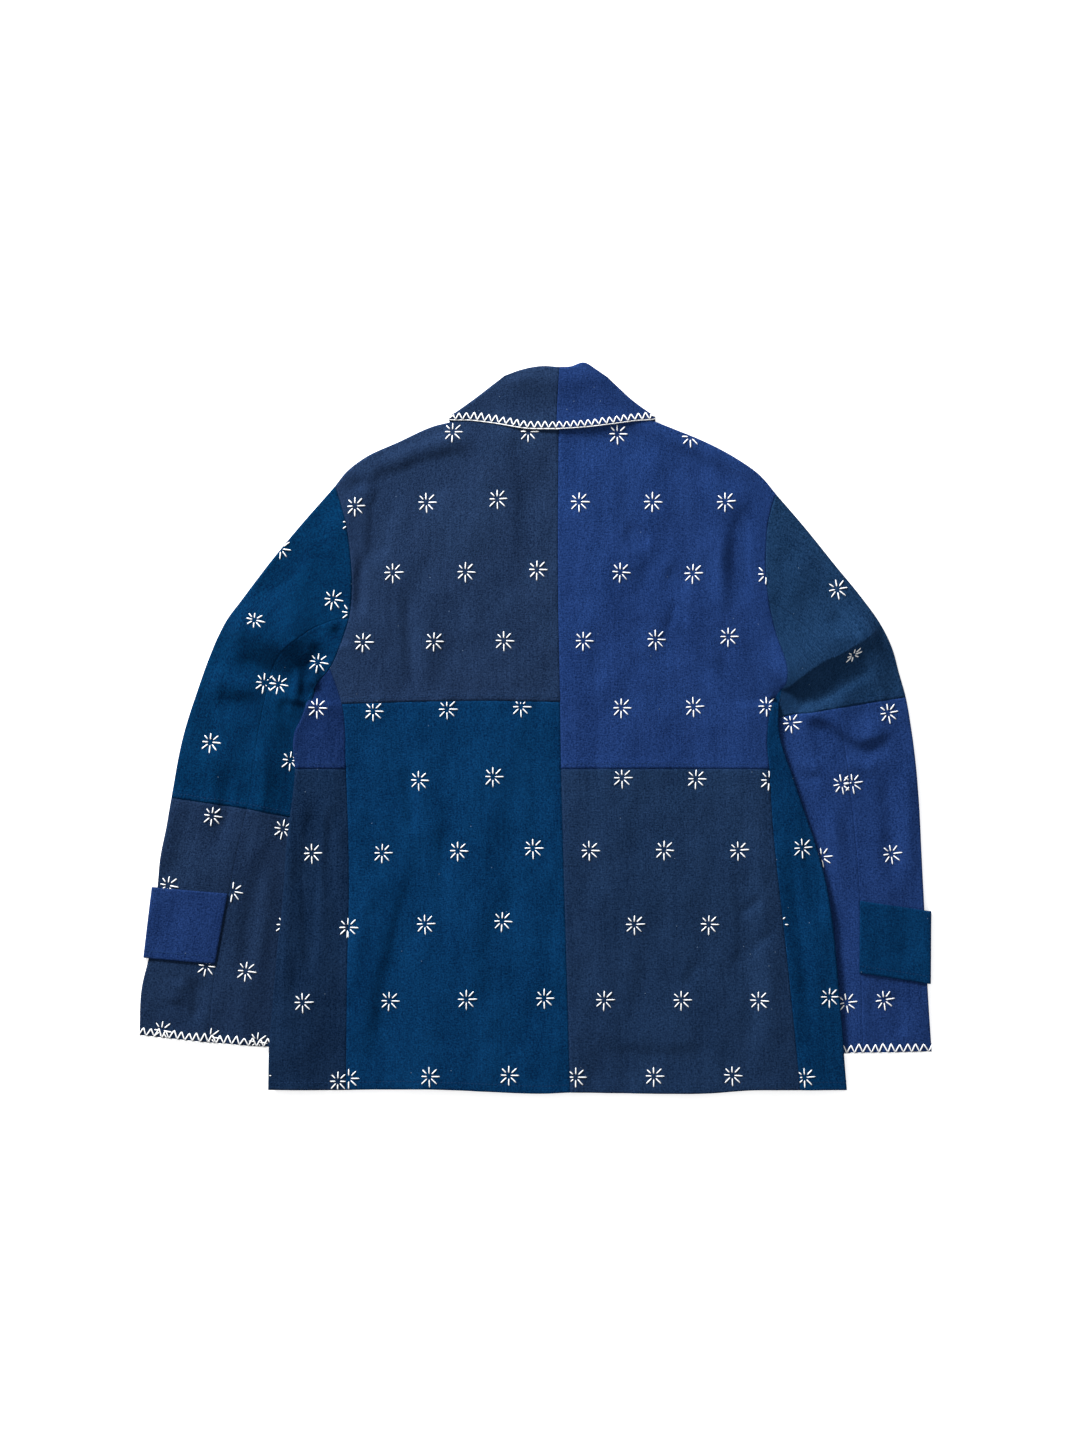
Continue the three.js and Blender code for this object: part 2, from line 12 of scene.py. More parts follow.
import bpy
import numpy as np
from mathutils import Vector
from mathutils.bvhtree import BVHTree
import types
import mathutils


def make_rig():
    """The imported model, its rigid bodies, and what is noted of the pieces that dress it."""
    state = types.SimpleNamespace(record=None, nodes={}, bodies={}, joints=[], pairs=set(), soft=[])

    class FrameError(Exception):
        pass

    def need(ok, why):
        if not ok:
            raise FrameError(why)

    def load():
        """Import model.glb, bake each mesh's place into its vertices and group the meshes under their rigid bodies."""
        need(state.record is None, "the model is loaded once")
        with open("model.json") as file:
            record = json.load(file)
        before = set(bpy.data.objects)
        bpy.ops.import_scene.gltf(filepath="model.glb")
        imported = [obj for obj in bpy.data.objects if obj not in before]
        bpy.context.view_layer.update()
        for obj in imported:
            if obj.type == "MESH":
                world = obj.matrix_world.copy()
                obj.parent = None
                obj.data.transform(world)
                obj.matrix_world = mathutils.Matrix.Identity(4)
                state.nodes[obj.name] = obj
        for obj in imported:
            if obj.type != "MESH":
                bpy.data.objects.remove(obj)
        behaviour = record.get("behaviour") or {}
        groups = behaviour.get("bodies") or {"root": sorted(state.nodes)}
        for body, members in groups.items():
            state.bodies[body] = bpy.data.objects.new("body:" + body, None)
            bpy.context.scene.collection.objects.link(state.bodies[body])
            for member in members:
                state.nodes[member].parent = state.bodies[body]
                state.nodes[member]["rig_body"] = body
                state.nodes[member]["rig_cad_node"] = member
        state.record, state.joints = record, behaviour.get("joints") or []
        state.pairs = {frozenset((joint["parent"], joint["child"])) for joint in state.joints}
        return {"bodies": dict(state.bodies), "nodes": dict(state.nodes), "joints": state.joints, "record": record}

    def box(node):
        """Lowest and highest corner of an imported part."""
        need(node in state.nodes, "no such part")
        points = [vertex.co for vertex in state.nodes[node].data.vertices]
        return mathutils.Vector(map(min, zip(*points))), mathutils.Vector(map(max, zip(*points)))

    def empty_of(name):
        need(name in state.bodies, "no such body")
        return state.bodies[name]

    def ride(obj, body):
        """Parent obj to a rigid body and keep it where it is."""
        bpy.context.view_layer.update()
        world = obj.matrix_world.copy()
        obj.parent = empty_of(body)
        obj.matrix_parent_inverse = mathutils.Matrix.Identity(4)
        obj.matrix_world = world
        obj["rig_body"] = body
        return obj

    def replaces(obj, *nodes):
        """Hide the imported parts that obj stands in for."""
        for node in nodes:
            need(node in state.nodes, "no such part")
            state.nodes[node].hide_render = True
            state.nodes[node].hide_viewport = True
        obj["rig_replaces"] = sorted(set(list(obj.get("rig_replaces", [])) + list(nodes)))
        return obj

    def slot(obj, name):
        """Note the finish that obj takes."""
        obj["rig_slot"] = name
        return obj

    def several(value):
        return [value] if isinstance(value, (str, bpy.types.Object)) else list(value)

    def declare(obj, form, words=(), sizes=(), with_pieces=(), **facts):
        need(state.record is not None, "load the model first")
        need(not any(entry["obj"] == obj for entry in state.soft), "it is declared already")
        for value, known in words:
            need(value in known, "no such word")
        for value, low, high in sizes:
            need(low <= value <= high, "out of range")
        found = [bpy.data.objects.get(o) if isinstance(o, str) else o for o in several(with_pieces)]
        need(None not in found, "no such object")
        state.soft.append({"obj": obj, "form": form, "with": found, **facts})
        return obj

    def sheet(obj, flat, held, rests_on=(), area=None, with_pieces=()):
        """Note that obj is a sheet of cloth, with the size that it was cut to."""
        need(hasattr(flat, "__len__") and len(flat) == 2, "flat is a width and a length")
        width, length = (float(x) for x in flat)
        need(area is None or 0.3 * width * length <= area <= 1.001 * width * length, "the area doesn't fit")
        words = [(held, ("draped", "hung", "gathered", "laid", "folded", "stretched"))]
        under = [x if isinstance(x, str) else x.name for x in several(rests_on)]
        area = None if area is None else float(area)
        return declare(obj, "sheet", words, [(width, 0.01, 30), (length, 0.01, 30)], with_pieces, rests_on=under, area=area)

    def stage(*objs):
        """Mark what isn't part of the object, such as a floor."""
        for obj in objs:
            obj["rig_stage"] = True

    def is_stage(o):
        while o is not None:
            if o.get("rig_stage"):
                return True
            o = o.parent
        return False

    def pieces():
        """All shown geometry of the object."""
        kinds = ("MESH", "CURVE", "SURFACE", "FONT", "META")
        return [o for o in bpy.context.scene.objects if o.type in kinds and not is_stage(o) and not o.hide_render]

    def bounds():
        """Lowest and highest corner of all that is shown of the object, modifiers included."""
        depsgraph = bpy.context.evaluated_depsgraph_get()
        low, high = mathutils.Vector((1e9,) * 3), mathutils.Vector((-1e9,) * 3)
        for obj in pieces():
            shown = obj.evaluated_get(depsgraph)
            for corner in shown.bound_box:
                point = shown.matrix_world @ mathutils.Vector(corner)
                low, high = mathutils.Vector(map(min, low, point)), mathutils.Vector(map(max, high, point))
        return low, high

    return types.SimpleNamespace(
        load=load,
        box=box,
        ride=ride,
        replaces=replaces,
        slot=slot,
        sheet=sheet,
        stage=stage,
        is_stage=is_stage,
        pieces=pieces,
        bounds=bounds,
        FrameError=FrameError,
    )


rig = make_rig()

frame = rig.load()
CAD_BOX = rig.bounds()

MM = 0.001
SEED = 7

# ---- Sizes, in millimetres ----
CLOTH = 0.8            # thickness of the cloth
TAB_CLOTH = 1.2        # of a cuff tab, which is double
LAYER_GAP = 0.5        # between two layers that lie on each other
LOFT = 4.6             # height of the flattened body and sleeves at their edges
TUCKED_LOFT = 3.2      # height of a sleeve under the body
BODY_LIFT = TUCKED_LOFT + 2 * LAYER_GAP    # of the body where it lies over a sleeve
LAYER_LIFT = 1.0 + 1.5 * LAYER_GAP     # of cloth that lies over the collar or a cuff tab
COLLAR_SWELL = 1.2     # how much the turned-down collar underneath raises the back
FLOOR_GAP = 0.9        # the embroidery holds the cloth underneath this far off the surface
FOLD_REACH = 2.4       # how far a fold's round edge stands out in plan
CUFF_Y = 40            # height of the cuffs above the hem
CELL = 2.6             # of the visible cloth's grid
UNDER_CELL = 9         # of the cloth underneath
SEAM_CELLS = (0, 0.5, 1.1, 2.0, 3.4)   # the first grid lines beside a seam
CROWN = 2.6            # how much fuller the body and the sleeves are in their middle than at their edges
LAYERS_APART = 2.3     # the least from the outer face underneath to the one on top
GREATEST = 19.0        # height of the highest fold


# ---- Points ----
def spacing(points, axis=0):
    """The distances between neighbouring points along an axis of a grid."""
    return np.linalg.norm(np.diff(points, axis=axis), axis=-1)


def distances(points, axis=0):
    """Each point's distance from the first one along an axis of a grid, measured over the points."""
    return np.insert(np.cumsum(spacing(points, axis), axis), 0, 0, axis)


def unit(vectors):
    return vectors / (np.linalg.norm(vectors, axis=-1)[..., None] + 1e-9)


# ---- Plan lines ----
class Curve:
    """A smooth line through key points, which are numbered from 0."""

    def __init__(self, *keys):
        self.keys = np.array(keys, float)
        steps = spacing(self.keys)
        self.places = distances(self.keys)
        slopes = np.diff(self.keys, axis=0) / steps[:, None]
        tangents = np.empty_like(self.keys)
        tangents[0], tangents[-1] = slopes[0], slopes[-1]
        weights = (steps[1:] / (steps[1:] + steps[:-1]))[:, None]
        tangents[1:-1] = weights * slopes[:-1] + (1 - weights) * slopes[1:]
        self.tangents = tangents
        self.fine = self.at_place(np.linspace(0, self.places[-1], 1200))

    def at_place(self, place):
        """The points at distances along the keys."""
        place = np.clip(np.asarray(place, float), 0, self.places[-1])
        i = np.clip(np.searchsorted(self.places, place, side="right") - 1, 0, len(self.keys) - 2)
        step = self.places[i + 1] - self.places[i]
        t = ((place - self.places[i]) / step)[..., None]
        step = step[..., None]
        a, b = self.keys[i], self.keys[i + 1]
        ta, tb = self.tangents[i] * step, self.tangents[i + 1] * step
        return (a * (2 * t**3 - 3 * t**2 + 1) + ta * (t**3 - 2 * t**2 + t)
                + b * (3 * t**2 - 2 * t**3) + tb * (t**3 - t**2))

    def run(self, first, last, fractions):
        """Points from one key to another, either way, at fractions of that stretch."""
        a, b = self.places[first], self.places[last]
        return self.at_place(a + (b - a) * np.asarray(fractions))

    def length(self, first, last):
        return abs(self.places[last] - self.places[first])

    def x_at(self, y):
        """Where a line that runs up or down the garment is at height y."""
        order = np.argsort(self.fine[:, 1])
        return np.interp(y, self.fine[order, 1], self.fine[order, 0])


class Chain:
    """Several stretches of curves, (curve, first key, last key), as one line."""

    def __init__(self, *stretches):
        self.stretches = stretches
        self.ends = np.concatenate([[0], np.cumsum([c.length(a, b) for c, a, b in stretches])])

    def run(self, fractions):
        place = np.asarray(fractions, float) * self.ends[-1]
        which = np.clip(np.searchsorted(self.ends, place, side="right") - 1, 0, len(self.stretches) - 1)
        points = np.empty((len(place), 2))
        for k, (curve, a, b) in enumerate(self.stretches):
            mine = which == k
            share = (place[mine] - self.ends[k]) / (self.ends[k + 1] - self.ends[k])
            points[mine] = curve.run(a, b, share)
        return points

    def total(self):
        return self.ends[-1]


def straight(a, b):
    return Chain((Curve(a, b), 0, 1))


def whole(curve):
    return Chain((curve, 0, len(curve.keys) - 1))


class Side:
    """The lines of one side of the jacket. Numbers are keys where lines meet."""


CENTRE_BACK = Curve((10, -2.4), (7, 108), (3, 245), (1, 321), (0, 388), (-2, 500), (-2, 600), (-1, 690))
CENTRE_FRONT = Curve((4, 0), (2, 235), (-1, 470))

left = Side()
left.sign = -1
left.side = Curve((-292, 0), (-291, 43), (-288, 80), (-285, 115), (-282, 147), (-278, 182), (-275.5, 216),
                  (-273, 250), (-268, 288), (-265, 321), (-267, 345), (-265, 359), (-260, 369),
                  (-256.3, 378), (-253.8, 386), (-252, 392))
left.side_patch, left.underarm = 9, 15
left.seam = Curve((-214, 0), (-213, 107), (-211, 214), (-214, 321), (-218, 386), (-230, 422))
left.seam_side_patch, left.seam_back_patch, left.seam_top = 3, 4, 5
left.back_patch = 4
left.armhole = Curve((-252, 392), (-245, 402), (-238, 412), (-230, 422), (-219, 447), (-211, 472),
                     (-208, 505), (-210, 538), (-216, 575), (-226, 603))
left.arm_seam, left.arm_sleeve, left.arm_top = 3, 5, 9
left.shoulder = Curve((-57, 692), (-104, 669.5), (-126, 664), (-162, 648), (-196, 632), (-213, 619),
                      (-226, 603))
left.neck = Curve((-1, 690), (-30, 691), (-57, 692))
left.throat = Curve((-1, 470), (-24, 540), (-41, 600), (-51, 650), (-57, 692))
left.outer = Curve((-226, 603), (-256, 569), (-290, 528), (-318, 491), (-333, 471), (-342, 454),
                   (-352, 430), (-363, 399), (-376, 358), (-389, 292), (-394, 262), (-400, 232),
                   (-403, 200), (-411.5, 132), (-418, 105), (-421, 54.5))
left.sleeve_seam = Curve((-211, 472), (-225, 470), (-240, 465), (-255, 458), (-268, 449), (-279, 438),
                         (-287, 424), (-294, 396), (-303, 350), (-313, 281), (-318, 260), (-324, 232),
                         (-331, 196), (-343, 129), (-347, 102), (-352, 47.5))
left.inner = Curve((-252, 392), (-253.4, 388), (-252.5, 380), (-250, 370), (-247, 355), (-243, 325),
                   (-238, 266), (-243, 232), (-248, 196), (-258, 132), (-272, 41))
left.sleeve_patch, left.cuff, left.inner_patch, left.inner_cuff = 9, 15, 6, 10
left.tab = ((-332, 196.6), (-408.5, 203), (-345, 126.2), (-417, 132.3))
left.collar_roll = Curve((-1, 723), (-17, 724), (-40, 720), (-56, 714.5))
left.collar_fold = Curve((-56, 714.5), (-84, 692.5), (-112, 672.5))
left.collar_edge = Curve((-4, 661), (-33, 661.6), (-69, 667.5), (-112, 672.5))
left.lapel_roll = Curve((-56, 714.5), (-56, 690), (-50, 650), (-40, 600), (-23, 540), (-2, 474))
left.lapel_edge = Curve((-112, 672.5), (-109, 640), (-98, 600), (-75, 550), (-40, 500), (-3, 455))

right = Side()
right.sign = 1
right.side = Curve((287, 0), (284, 35), (281, 75), (277, 122), (272.5, 168), (266, 207), (254, 250),
                   (242, 285), (231, 318), (224, 338), (220, 353), (218.6, 367), (218.6, 378),
                   (219.4, 386), (221, 391))
right.underarm = 14
right.seam = Curve((240, 0), (233, 70), (223, 165), (214, 246), (209, 321), (207, 350), (211, 380),
                   (222, 403))
right.seam_back_patch, right.seam_top = 4, 7
right.back_patch = 3
right.armhole = Curve((221, 391), (221.6, 395), (222, 399), (222, 403), (224, 425), (215, 460),
                      (209, 488), (206, 515), (206, 545), (209, 572), (217, 595))
right.arm_seam, right.arm_sleeve, right.arm_top = 3, 6, 10
right.shoulder = Curve((57, 692), (88, 671.5), (108, 663.5), (146, 648), (176, 632), (200, 615),
                       (217, 595))
right.neck = Curve((-1, 690), (30, 691), (57, 692))
right.throat = Curve((-1, 470), (22, 540), (40, 600), (51, 650), (57, 692))
right.outer = Curve((217, 595), (243, 565), (276, 524), (303, 491), (318, 470), (326, 456), (333, 440),
                    (339, 418), (346, 393), (351, 365), (355, 335), (359, 290), (362, 232), (364.5, 180),
                    (367.5, 106), (372, 38.5))
right.sleeve_seam = Curve((209, 488), (225, 480), (241, 467), (256, 454), (268, 443), (272, 431),
                          (273, 415), (275, 398), (278, 382), (283, 355), (287, 325), (291, 290),
                          (297, 232), (300, 186), (301, 112), (303, 37))
right.inner = Curve((221, 391), (218.8, 387), (216.8, 380), (214.8, 373), (212, 360), (208, 340),
                    (205, 300), (208, 240), (212, 190), (219, 112), (226, 35.5))
right.sleeve_patch, right.cuff, right.inner_patch, right.inner_cuff = 8, 15, 3, 10
right.tab = ((299.5, 189.4), (371.5, 178.8), (299, 117.4), (371, 106.2))
right.collar_roll = Curve((-1, 723), (10, 723.5), (24, 727.5), (36, 721), (48, 713))
right.collar_fold = Curve((48, 713), (73, 689.5), (96, 673))
right.collar_edge = Curve((-4, 661), (26, 663), (65, 668), (96, 673))
right.lapel_roll = Curve((48, 713), (55, 690), (50, 650), (39, 600), (21, 540), (0, 474))
right.lapel_edge = Curve((96, 673), (102, 640), (95, 600), (73, 550), (38, 500), (1, 455))


# ---- Heights ----
def smooth(low, high, v):
    t = np.clip((v - low) / (high - low), 0, 1)
    return t * t * (3 - 2 * t)


def lerp(a, b, t):
    return a + (b - a) * t


class Noise:
    """Smooth seeded noise over the plan, from about -1 to 1, with its own grain sizes along x and y."""

    def __init__(self, seed, grain_x, grain_y):
        turns = np.random.default_rng(seed).uniform(0, 2 * math.pi, (64, 64))
        self.gx, self.gy = np.cos(turns), np.sin(turns)
        self.grain = (grain_x, grain_y)

    def __call__(self, x, y):
        u, v = x / self.grain[0] + 31.7, y / self.grain[1] + 17.3
        i, j = np.floor(u).astype(int), np.floor(v).astype(int)
        fu, fv = u - i, v - j
        su, sv = (f**3 * (f * (f * 6 - 15) + 10) for f in (fu, fv))

        def corner(di, dj):
            a, b = (i + di) % 64, (j + dj) % 64
            return self.gx[a, b] * (fu - di) + self.gy[a, b] * (fv - dj)

        return 1.5 * lerp(lerp(corner(0, 0), corner(1, 0), su), lerp(corner(0, 1), corner(1, 1), su), sv)


class Fold:
    """A soft ridge, or a trough where its height is negative, along a line in the plan. near is its
    width to the left of the line's way and far to the right. It leans over to the right by lean."""

    def __init__(self, height, near, far, *keys, lean=0, ends=(0.3, 0.3), power=2.0):
        self.height, self.near, self.far, self.lean, self.power = height, near, far, lean, power
        self.ends = ends
        curve = Curve(*keys)
        self.points = curve.at_place(np.linspace(0, curve.places[-1], 24))

    def profile(self, x, y):
        """The share of the fold's height at each place, and the way it leans."""
        best = np.full(x.shape, 1e9)
        place = np.zeros(x.shape)
        way = np.zeros(x.shape + (2,))
        count = len(self.points) - 1
        for k in range(count):
            a, b = self.points[k], self.points[k + 1]
            along = b - a
            length = np.linalg.norm(along)
            ox, oy = x - a[0], y - a[1]
            t = np.clip((ox * along[0] + oy * along[1]) / length**2, 0, 1)
            dx, dy = ox - t * along[0], oy - t * along[1]
            width = np.where(along[0] * oy - along[1] * ox > 0, self.near, self.far)
            ratio = np.hypot(dx, dy) / width
            closer = ratio < best
            best = np.where(closer, ratio, best)
            place = np.where(closer, (k + t) / count, place)
            way = np.where(closer[..., None], np.array([along[1], -along[0]]) / length, way)
        start, end = self.ends
        fade = smooth(-0.02, start, place) * smooth(-0.02, end, 1 - place)
        return np.exp(-best**self.power) * fade, way


BODY_FOLDS = [
    Fold(-4.4, 11, 36, (-204, 598), (-176, 608), (-148, 618), (-112, 628), (-72, 634)),
    Fold(2.8, 9, 10, (-208, 611), (-178, 625), (-148, 637), (-110, 649), (-76, 656)),
    Fold(-5.0, 14, 8, (-178, 602), (-182, 570), (-186, 525)),
    Fold(-4.0, 5, 6, (-196, 540), (-201, 500), (-199, 470)),
    Fold(-2.6, 5, 6, (-200, 612), (-206, 598)),
    Fold(-4.6, 6, 7, (-154, 508), (-150, 452), (-147, 412), (-142, 398)),
    Fold(1.8, 14, 9, (-138, 500), (-134, 440), (-130, 400)),
    Fold(-3.8, 6, 7, (-151, 330), (-149, 290), (-148, 250)),
    Fold(-4.4, 24, 12, (-140, 240), (-148, 200), (-164, 142), (-172, 110), (-178, 70), (-187, 14)),
    Fold(1.8, 10, 16, (-160, 210), (-178, 142), (-186, 110), (-193, 70), (-200, 22)),
    Fold(2.6, 9, 10, (-186, 220), (-202, 150), (-214, 80)),
    Fold(-2.2, 9, 9, (-110, 300), (-118, 200), (-112, 120)),
    Fold(1.8, 12, 14, (-70, 350), (-76, 230), (-88, 60)),
    Fold(-1.8, 10, 10, (-44, 350), (-48, 240), (-50, 120)),
    Fold(-2.4, 12, 12, (-30, 640), (-36, 560), (-30, 460)),
    Fold(2.0, 12, 14, (-90, 600), (-84, 520), (-90, 430)),
    Fold(-5.0, 8, 11, (184, 590), (180, 545), (186, 480)),
    Fold(3.4, 8, 9, (166, 570), (160, 510), (166, 460)),
    Fold(-3.6, 9, 22, (2, 652), (40, 651), (78, 652), (112, 646)),
    Fold(-3.2, 10, 30, (96, 642), (130, 630), (160, 616), (190, 596)),
    Fold(2.6, 10, 10, (64, 661), (100, 655), (134, 643), (166, 628), (196, 606)),
    Fold(-2.4, 12, 12, (62, 560), (92, 546)),
    Fold(-2.6, 12, 12, (104, 518), (132, 506)),
    Fold(-1.8, 3, 4, (116, 492), (113, 474), (107, 456)),
    Fold(1.8, 12, 16, (90, 470), (82, 430)),
    Fold(-3.4, 9, 10, (100, 478), (120, 446), (156, 400)),
    Fold(2.6, 9, 9, (120, 480), (140, 450), (168, 420)),
    Fold(-1.8, 10, 10, (34, 470), (38, 430), (36, 390)),
    Fold(-2.4, 8, 9, (70, 470), (96, 452), (120, 420)),
    Fold(1.8, 12, 16, (54, 290), (62, 220), (58, 150)),
    Fold(-1.9, 9, 9, (86, 170), (82, 110), (72, 50)),
    Fold(-2.2, 9, 22, (26, 44), (60, 36), (110, 34), (164, 42)),
    Fold(-1.8, 6, 7, (138, 132), (132, 116), (124, 98)),
    Fold(-2.4, 5, 7, (216, 162), (198, 146), (172, 124)),
    Fold(-2.0, 4, 6, (204, 194), (192, 184), (178, 174)),
    Fold(2.4, 9, 10, (196, 270), (204, 160), (216, 40)),
    Fold(-2.4, 9, 10, (178, 220), (186, 130), (194, 40)),
    Fold(-3.6, 6, 6, (-229, 285), (-230, 235), (-231, 182)),
    Fold(-6.5, 7, 7, (-247, 296), (-250, 200), (-250, 104)),
    Fold(4.0, 8, 6, (-268, 292), (-273, 190), (-277, 50)),
    Fold(-3.0, 7, 8, (228, 250), (240, 160), (252, 40)),
]
LEFT_SLEEVE_FOLDS = [
    Fold(11.0, 28, 20, (-340, 470), (-318, 467), (-298, 460), (-278, 454), (-258, 454), (-236, 457),
         lean=3, ends=(0.25, 0.35)),
    Fold(-5.4, 13, 17, (-332, 430), (-302, 420), (-280, 412), (-262, 410), ends=(0.3, 0.1)),
    Fold(-4.2, 12, 12, (-250, 548), (-276, 516), (-304, 486)),
    Fold(-3.6, 6, 6, (-252, 442), (-244, 440), (-237, 434), (-233, 426)),
    Fold(1.4, 3, 4, (-279, 438), (-272, 448), (-260, 456)),
    Fold(6.0, 6, 9, (-248, 432), (-244, 416), (-247, 398), lean=1),
    Fold(-7.0, 14, 5, (-262, 434), (-256, 420), (-254, 402), (-258, 386), ends=(0.2, 0.3)),
    Fold(-3.6, 6, 6, (-228, 464), (-220, 452), (-217, 442)),
    Fold(4.4, 15, 14, (-356, 410), (-326, 405), (-296, 398)),
    Fold(-3.6, 10, 15, (-348, 384), (-326, 386), (-300, 388)),
    Fold(-5.0, 8, 9, (-354, 398), (-352, 370), (-347, 332)),
    Fold(-3.4, 5, 6, (-268, 391), (-276, 382), (-273, 372), (-262, 370)),
    Fold(3.0, 9, 9, (-300, 350), (-296, 310), (-302, 270)),
    Fold(-4.6, 7, 10, (-333, 330), (-334, 285), (-342, 240)),
    Fold(3.2, 10, 11, (-380, 300), (-392, 250), (-398, 212)),
    Fold(-4.0, 9, 9, (-300, 240), (-308, 180), (-318, 100)),
    Fold(3.4, 8, 9, (-286, 240), (-290, 180), (-298, 110)),
    Fold(-3.4, 7, 7, (-366, 115), (-362, 88), (-368, 62)),
    Fold(2.6, 9, 9, (-380, 112), (-386, 84)),
]
RIGHT_SLEEVE_FOLDS = [
    Fold(6.8, 26, 6, (220, 402), (240, 420), (260, 433), (276, 441), (300, 455), (322, 466), lean=5.5,
         ends=(0.08, 0.15), power=1.8),
    Fold(7.5, 30, 42, (222, 404), (260, 431), (300, 453), (324, 462), ends=(0.12, 0.2)),
    Fold(-5.5, 20, 8, (214, 380), (238, 386), (262, 394), (290, 411), (318, 431), ends=(0.03, 0.3)),
    Fold(3.4, 12, 7, (236, 376), (258, 375), (276, 368), (290, 357), (302, 352), (318, 357), (340, 362),
         lean=1, ends=(0.15, 0.25)),
    Fold(-2.2, 7, 9, (244, 364), (262, 361), (280, 350), (298, 338), (316, 341), (334, 350),
         ends=(0.2, 0.3)),
    Fold(2.0, 7, 7, (280, 330), (304, 322), (322, 326)),
    Fold(2.8, 9, 7, (226, 327), (242, 325), (262, 318)),
    Fold(-2.4, 5, 7, (228, 314), (246, 313), (262, 308)),
    Fold(-4.0, 9, 10, (322, 330), (330, 260), (336, 200)),
    Fold(3.6, 9, 10, (268, 290), (274, 230), (272, 150)),
    Fold(-3.8, 7, 8, (248, 300), (252, 230), (258, 170)),
    Fold(3.0, 8, 10, (348, 330), (350, 260), (352, 206)),
    Fold(-3.2, 8, 8, (330, 100), (338, 80), (340, 50)),
    Fold(-3.4, 7, 7, (268, 478), (284, 466), (298, 452)),
]
FOLDS = BODY_FOLDS + LEFT_SLEEVE_FOLDS + RIGHT_SLEEVE_FOLDS

RIPPLES = (Noise(SEED, 46, 96), Noise(SEED + 1, 22, 40), Noise(SEED + 2, 11, 15))
RIPPLE_HEIGHTS = (2.0, 1.3, 0.25)
UNDER_RIPPLES = Noise(SEED + 4, 50, 90)
UNDER_RIPPLE_HEIGHT = 0.9

# Stretches over which a height comes and goes, in millimetres
UNDERARM_SLOPE = (-8, -0.5)     # up from where the body is wholly over a sleeve to where it isn't
BODY_SLOPE = (-52, -9)          # out to the sleeve's inner edge, where the body rises over it
HEM_SLOPE = (-10, CUFF_Y + 5)   # up from the hem, where the sleeve underneath ends
HEM_LIFT = 0.5                  # the share of its lift that the body has at the hem
COLLAR_SLOPE = (8, 40)          # out from the edge of the collar underneath
COLLAR_END = (410, 445)         # up from the hem, where the collar underneath starts
SLEEVE_SLOPE = (2, 30)          # out from the body's side, where a sleeve comes up from under it
TAB_SLOPE = (-40, -12)          # out to the tab's inner edge
TAB_BESIDE = (10, 34)           # up and down from the tab's edges
FULL_AFTER = 40                 # in from the outline, where the garment is at its fullest
YOKE, YOKE_CALM = (640, 680), 0.6       # the cloth that the collar holds flat, and how much flatter it is
KEPT_SOFTNESS, CAP_SOFTNESS = 0.5, 2.0  # how gently a height is held off its lowest and its highest


def side_of(x):
    return np.asarray(x) < 0


def by_side(x, y, line):
    """The x of that line on each place's own side, made positive."""
    return np.where(side_of(x), -line(left).x_at(y), line(right).x_at(y))


def above_underarm(x, y):
    return y - np.where(side_of(x), left.side.keys[-1][1], right.side.keys[-1][1])


def below_underarm(x, y):
    return 1 - smooth(*UNDERARM_SLOPE, above_underarm(x, y))


def over_sleeve(x, y):
    """How much of its lift the body has: whole over a sleeve and none well inside of it."""
    past = np.abs(x) - by_side(x, y, lambda s: s.inner)
    hem = lerp(HEM_LIFT, 1, smooth(*HEM_SLOPE, y))
    return smooth(*BODY_SLOPE, past) * below_underarm(x, y) * hem


def over_collar(x, y):
    past = np.abs(x) - by_side(x, y, lambda s: s.lapel_edge)
    return (1 - smooth(*COLLAR_SLOPE, past)) * smooth(*COLLAR_END, y)


def ripples(x, y):
    return sum(h * n(x, y) for h, n in zip(RIPPLE_HEIGHTS, RIPPLES))


def still(x):
    """No shift in the plan, at each place."""
    return np.zeros(np.shape(x) + (2,))


def level(height):
    """The height function of cloth that lies flat at a height."""
    return lambda x, y: (np.full(np.shape(x), height), still(x))


def folded(x, y):
    """What the folds add to the height at each place, and how far they lean."""
    height, shift = np.zeros(np.shape(x)), still(x)
    for fold in FOLDS:
        share, way = fold.profile(x, y)
        height = height + fold.height * share
        if fold.lean:
            shift = shift + fold.lean * share[..., None] * way
    return height, shift


def crown(x, y):
    """How full the garment is at a place, from its outline inwards."""
    outside = by_side(x, y, lambda s: s.outer) - np.abs(x)
    shoulders = np.where(side_of(x), left.shoulder_y(x), right.shoulder_y(x)) - y
    return CROWN * smooth(0, FULL_AFTER, outside) * smooth(0, FULL_AFTER, shoulders)


def kept_apart(z, under):
    """A height that stays clear of the cloth underneath, softly."""
    spare = z - under - LAYERS_APART
    return under + LAYERS_APART + 0.5 * (spare + np.sqrt(spare**2 + KEPT_SOFTNESS))


def capped(z):
    """A height that stays under the garment's greatest, softly."""
    spare = GREATEST - z
    return GREATEST - 0.5 * (spare + np.sqrt(spare**2 + CAP_SOFTNESS))


def body_over(x, y):
    height, shift = folded(x, y)
    lift = np.maximum(BODY_LIFT * over_sleeve(x, y), COLLAR_SWELL * over_collar(x, y))
    calm = 1 - YOKE_CALM * smooth(*YOKE, y)
    inside = smooth(0, FULL_AFTER, by_side(x, y, lambda s: s.side) - np.abs(x))
    full = crown(x, y) * lerp(inside, 1, smooth(-30, 0, above_underarm(x, y)))
    free = LOFT + lift + full + height + ripples(x, y) * calm
    return capped(kept_apart(free, body_under(x, y)[0])), shift


def rests(x, y):
    """How far the cloth underneath is from the surface, where it isn't pressed on it."""
    return FLOOR_GAP + UNDER_RIPPLE_HEIGHT * np.maximum(0, UNDER_RIPPLES(x, y))


def body_under(x, y):
    lift = np.maximum(BODY_LIFT * over_sleeve(x, y), LAYER_LIFT * over_collar(x, y))
    return lift + rests(x, y), still(x)


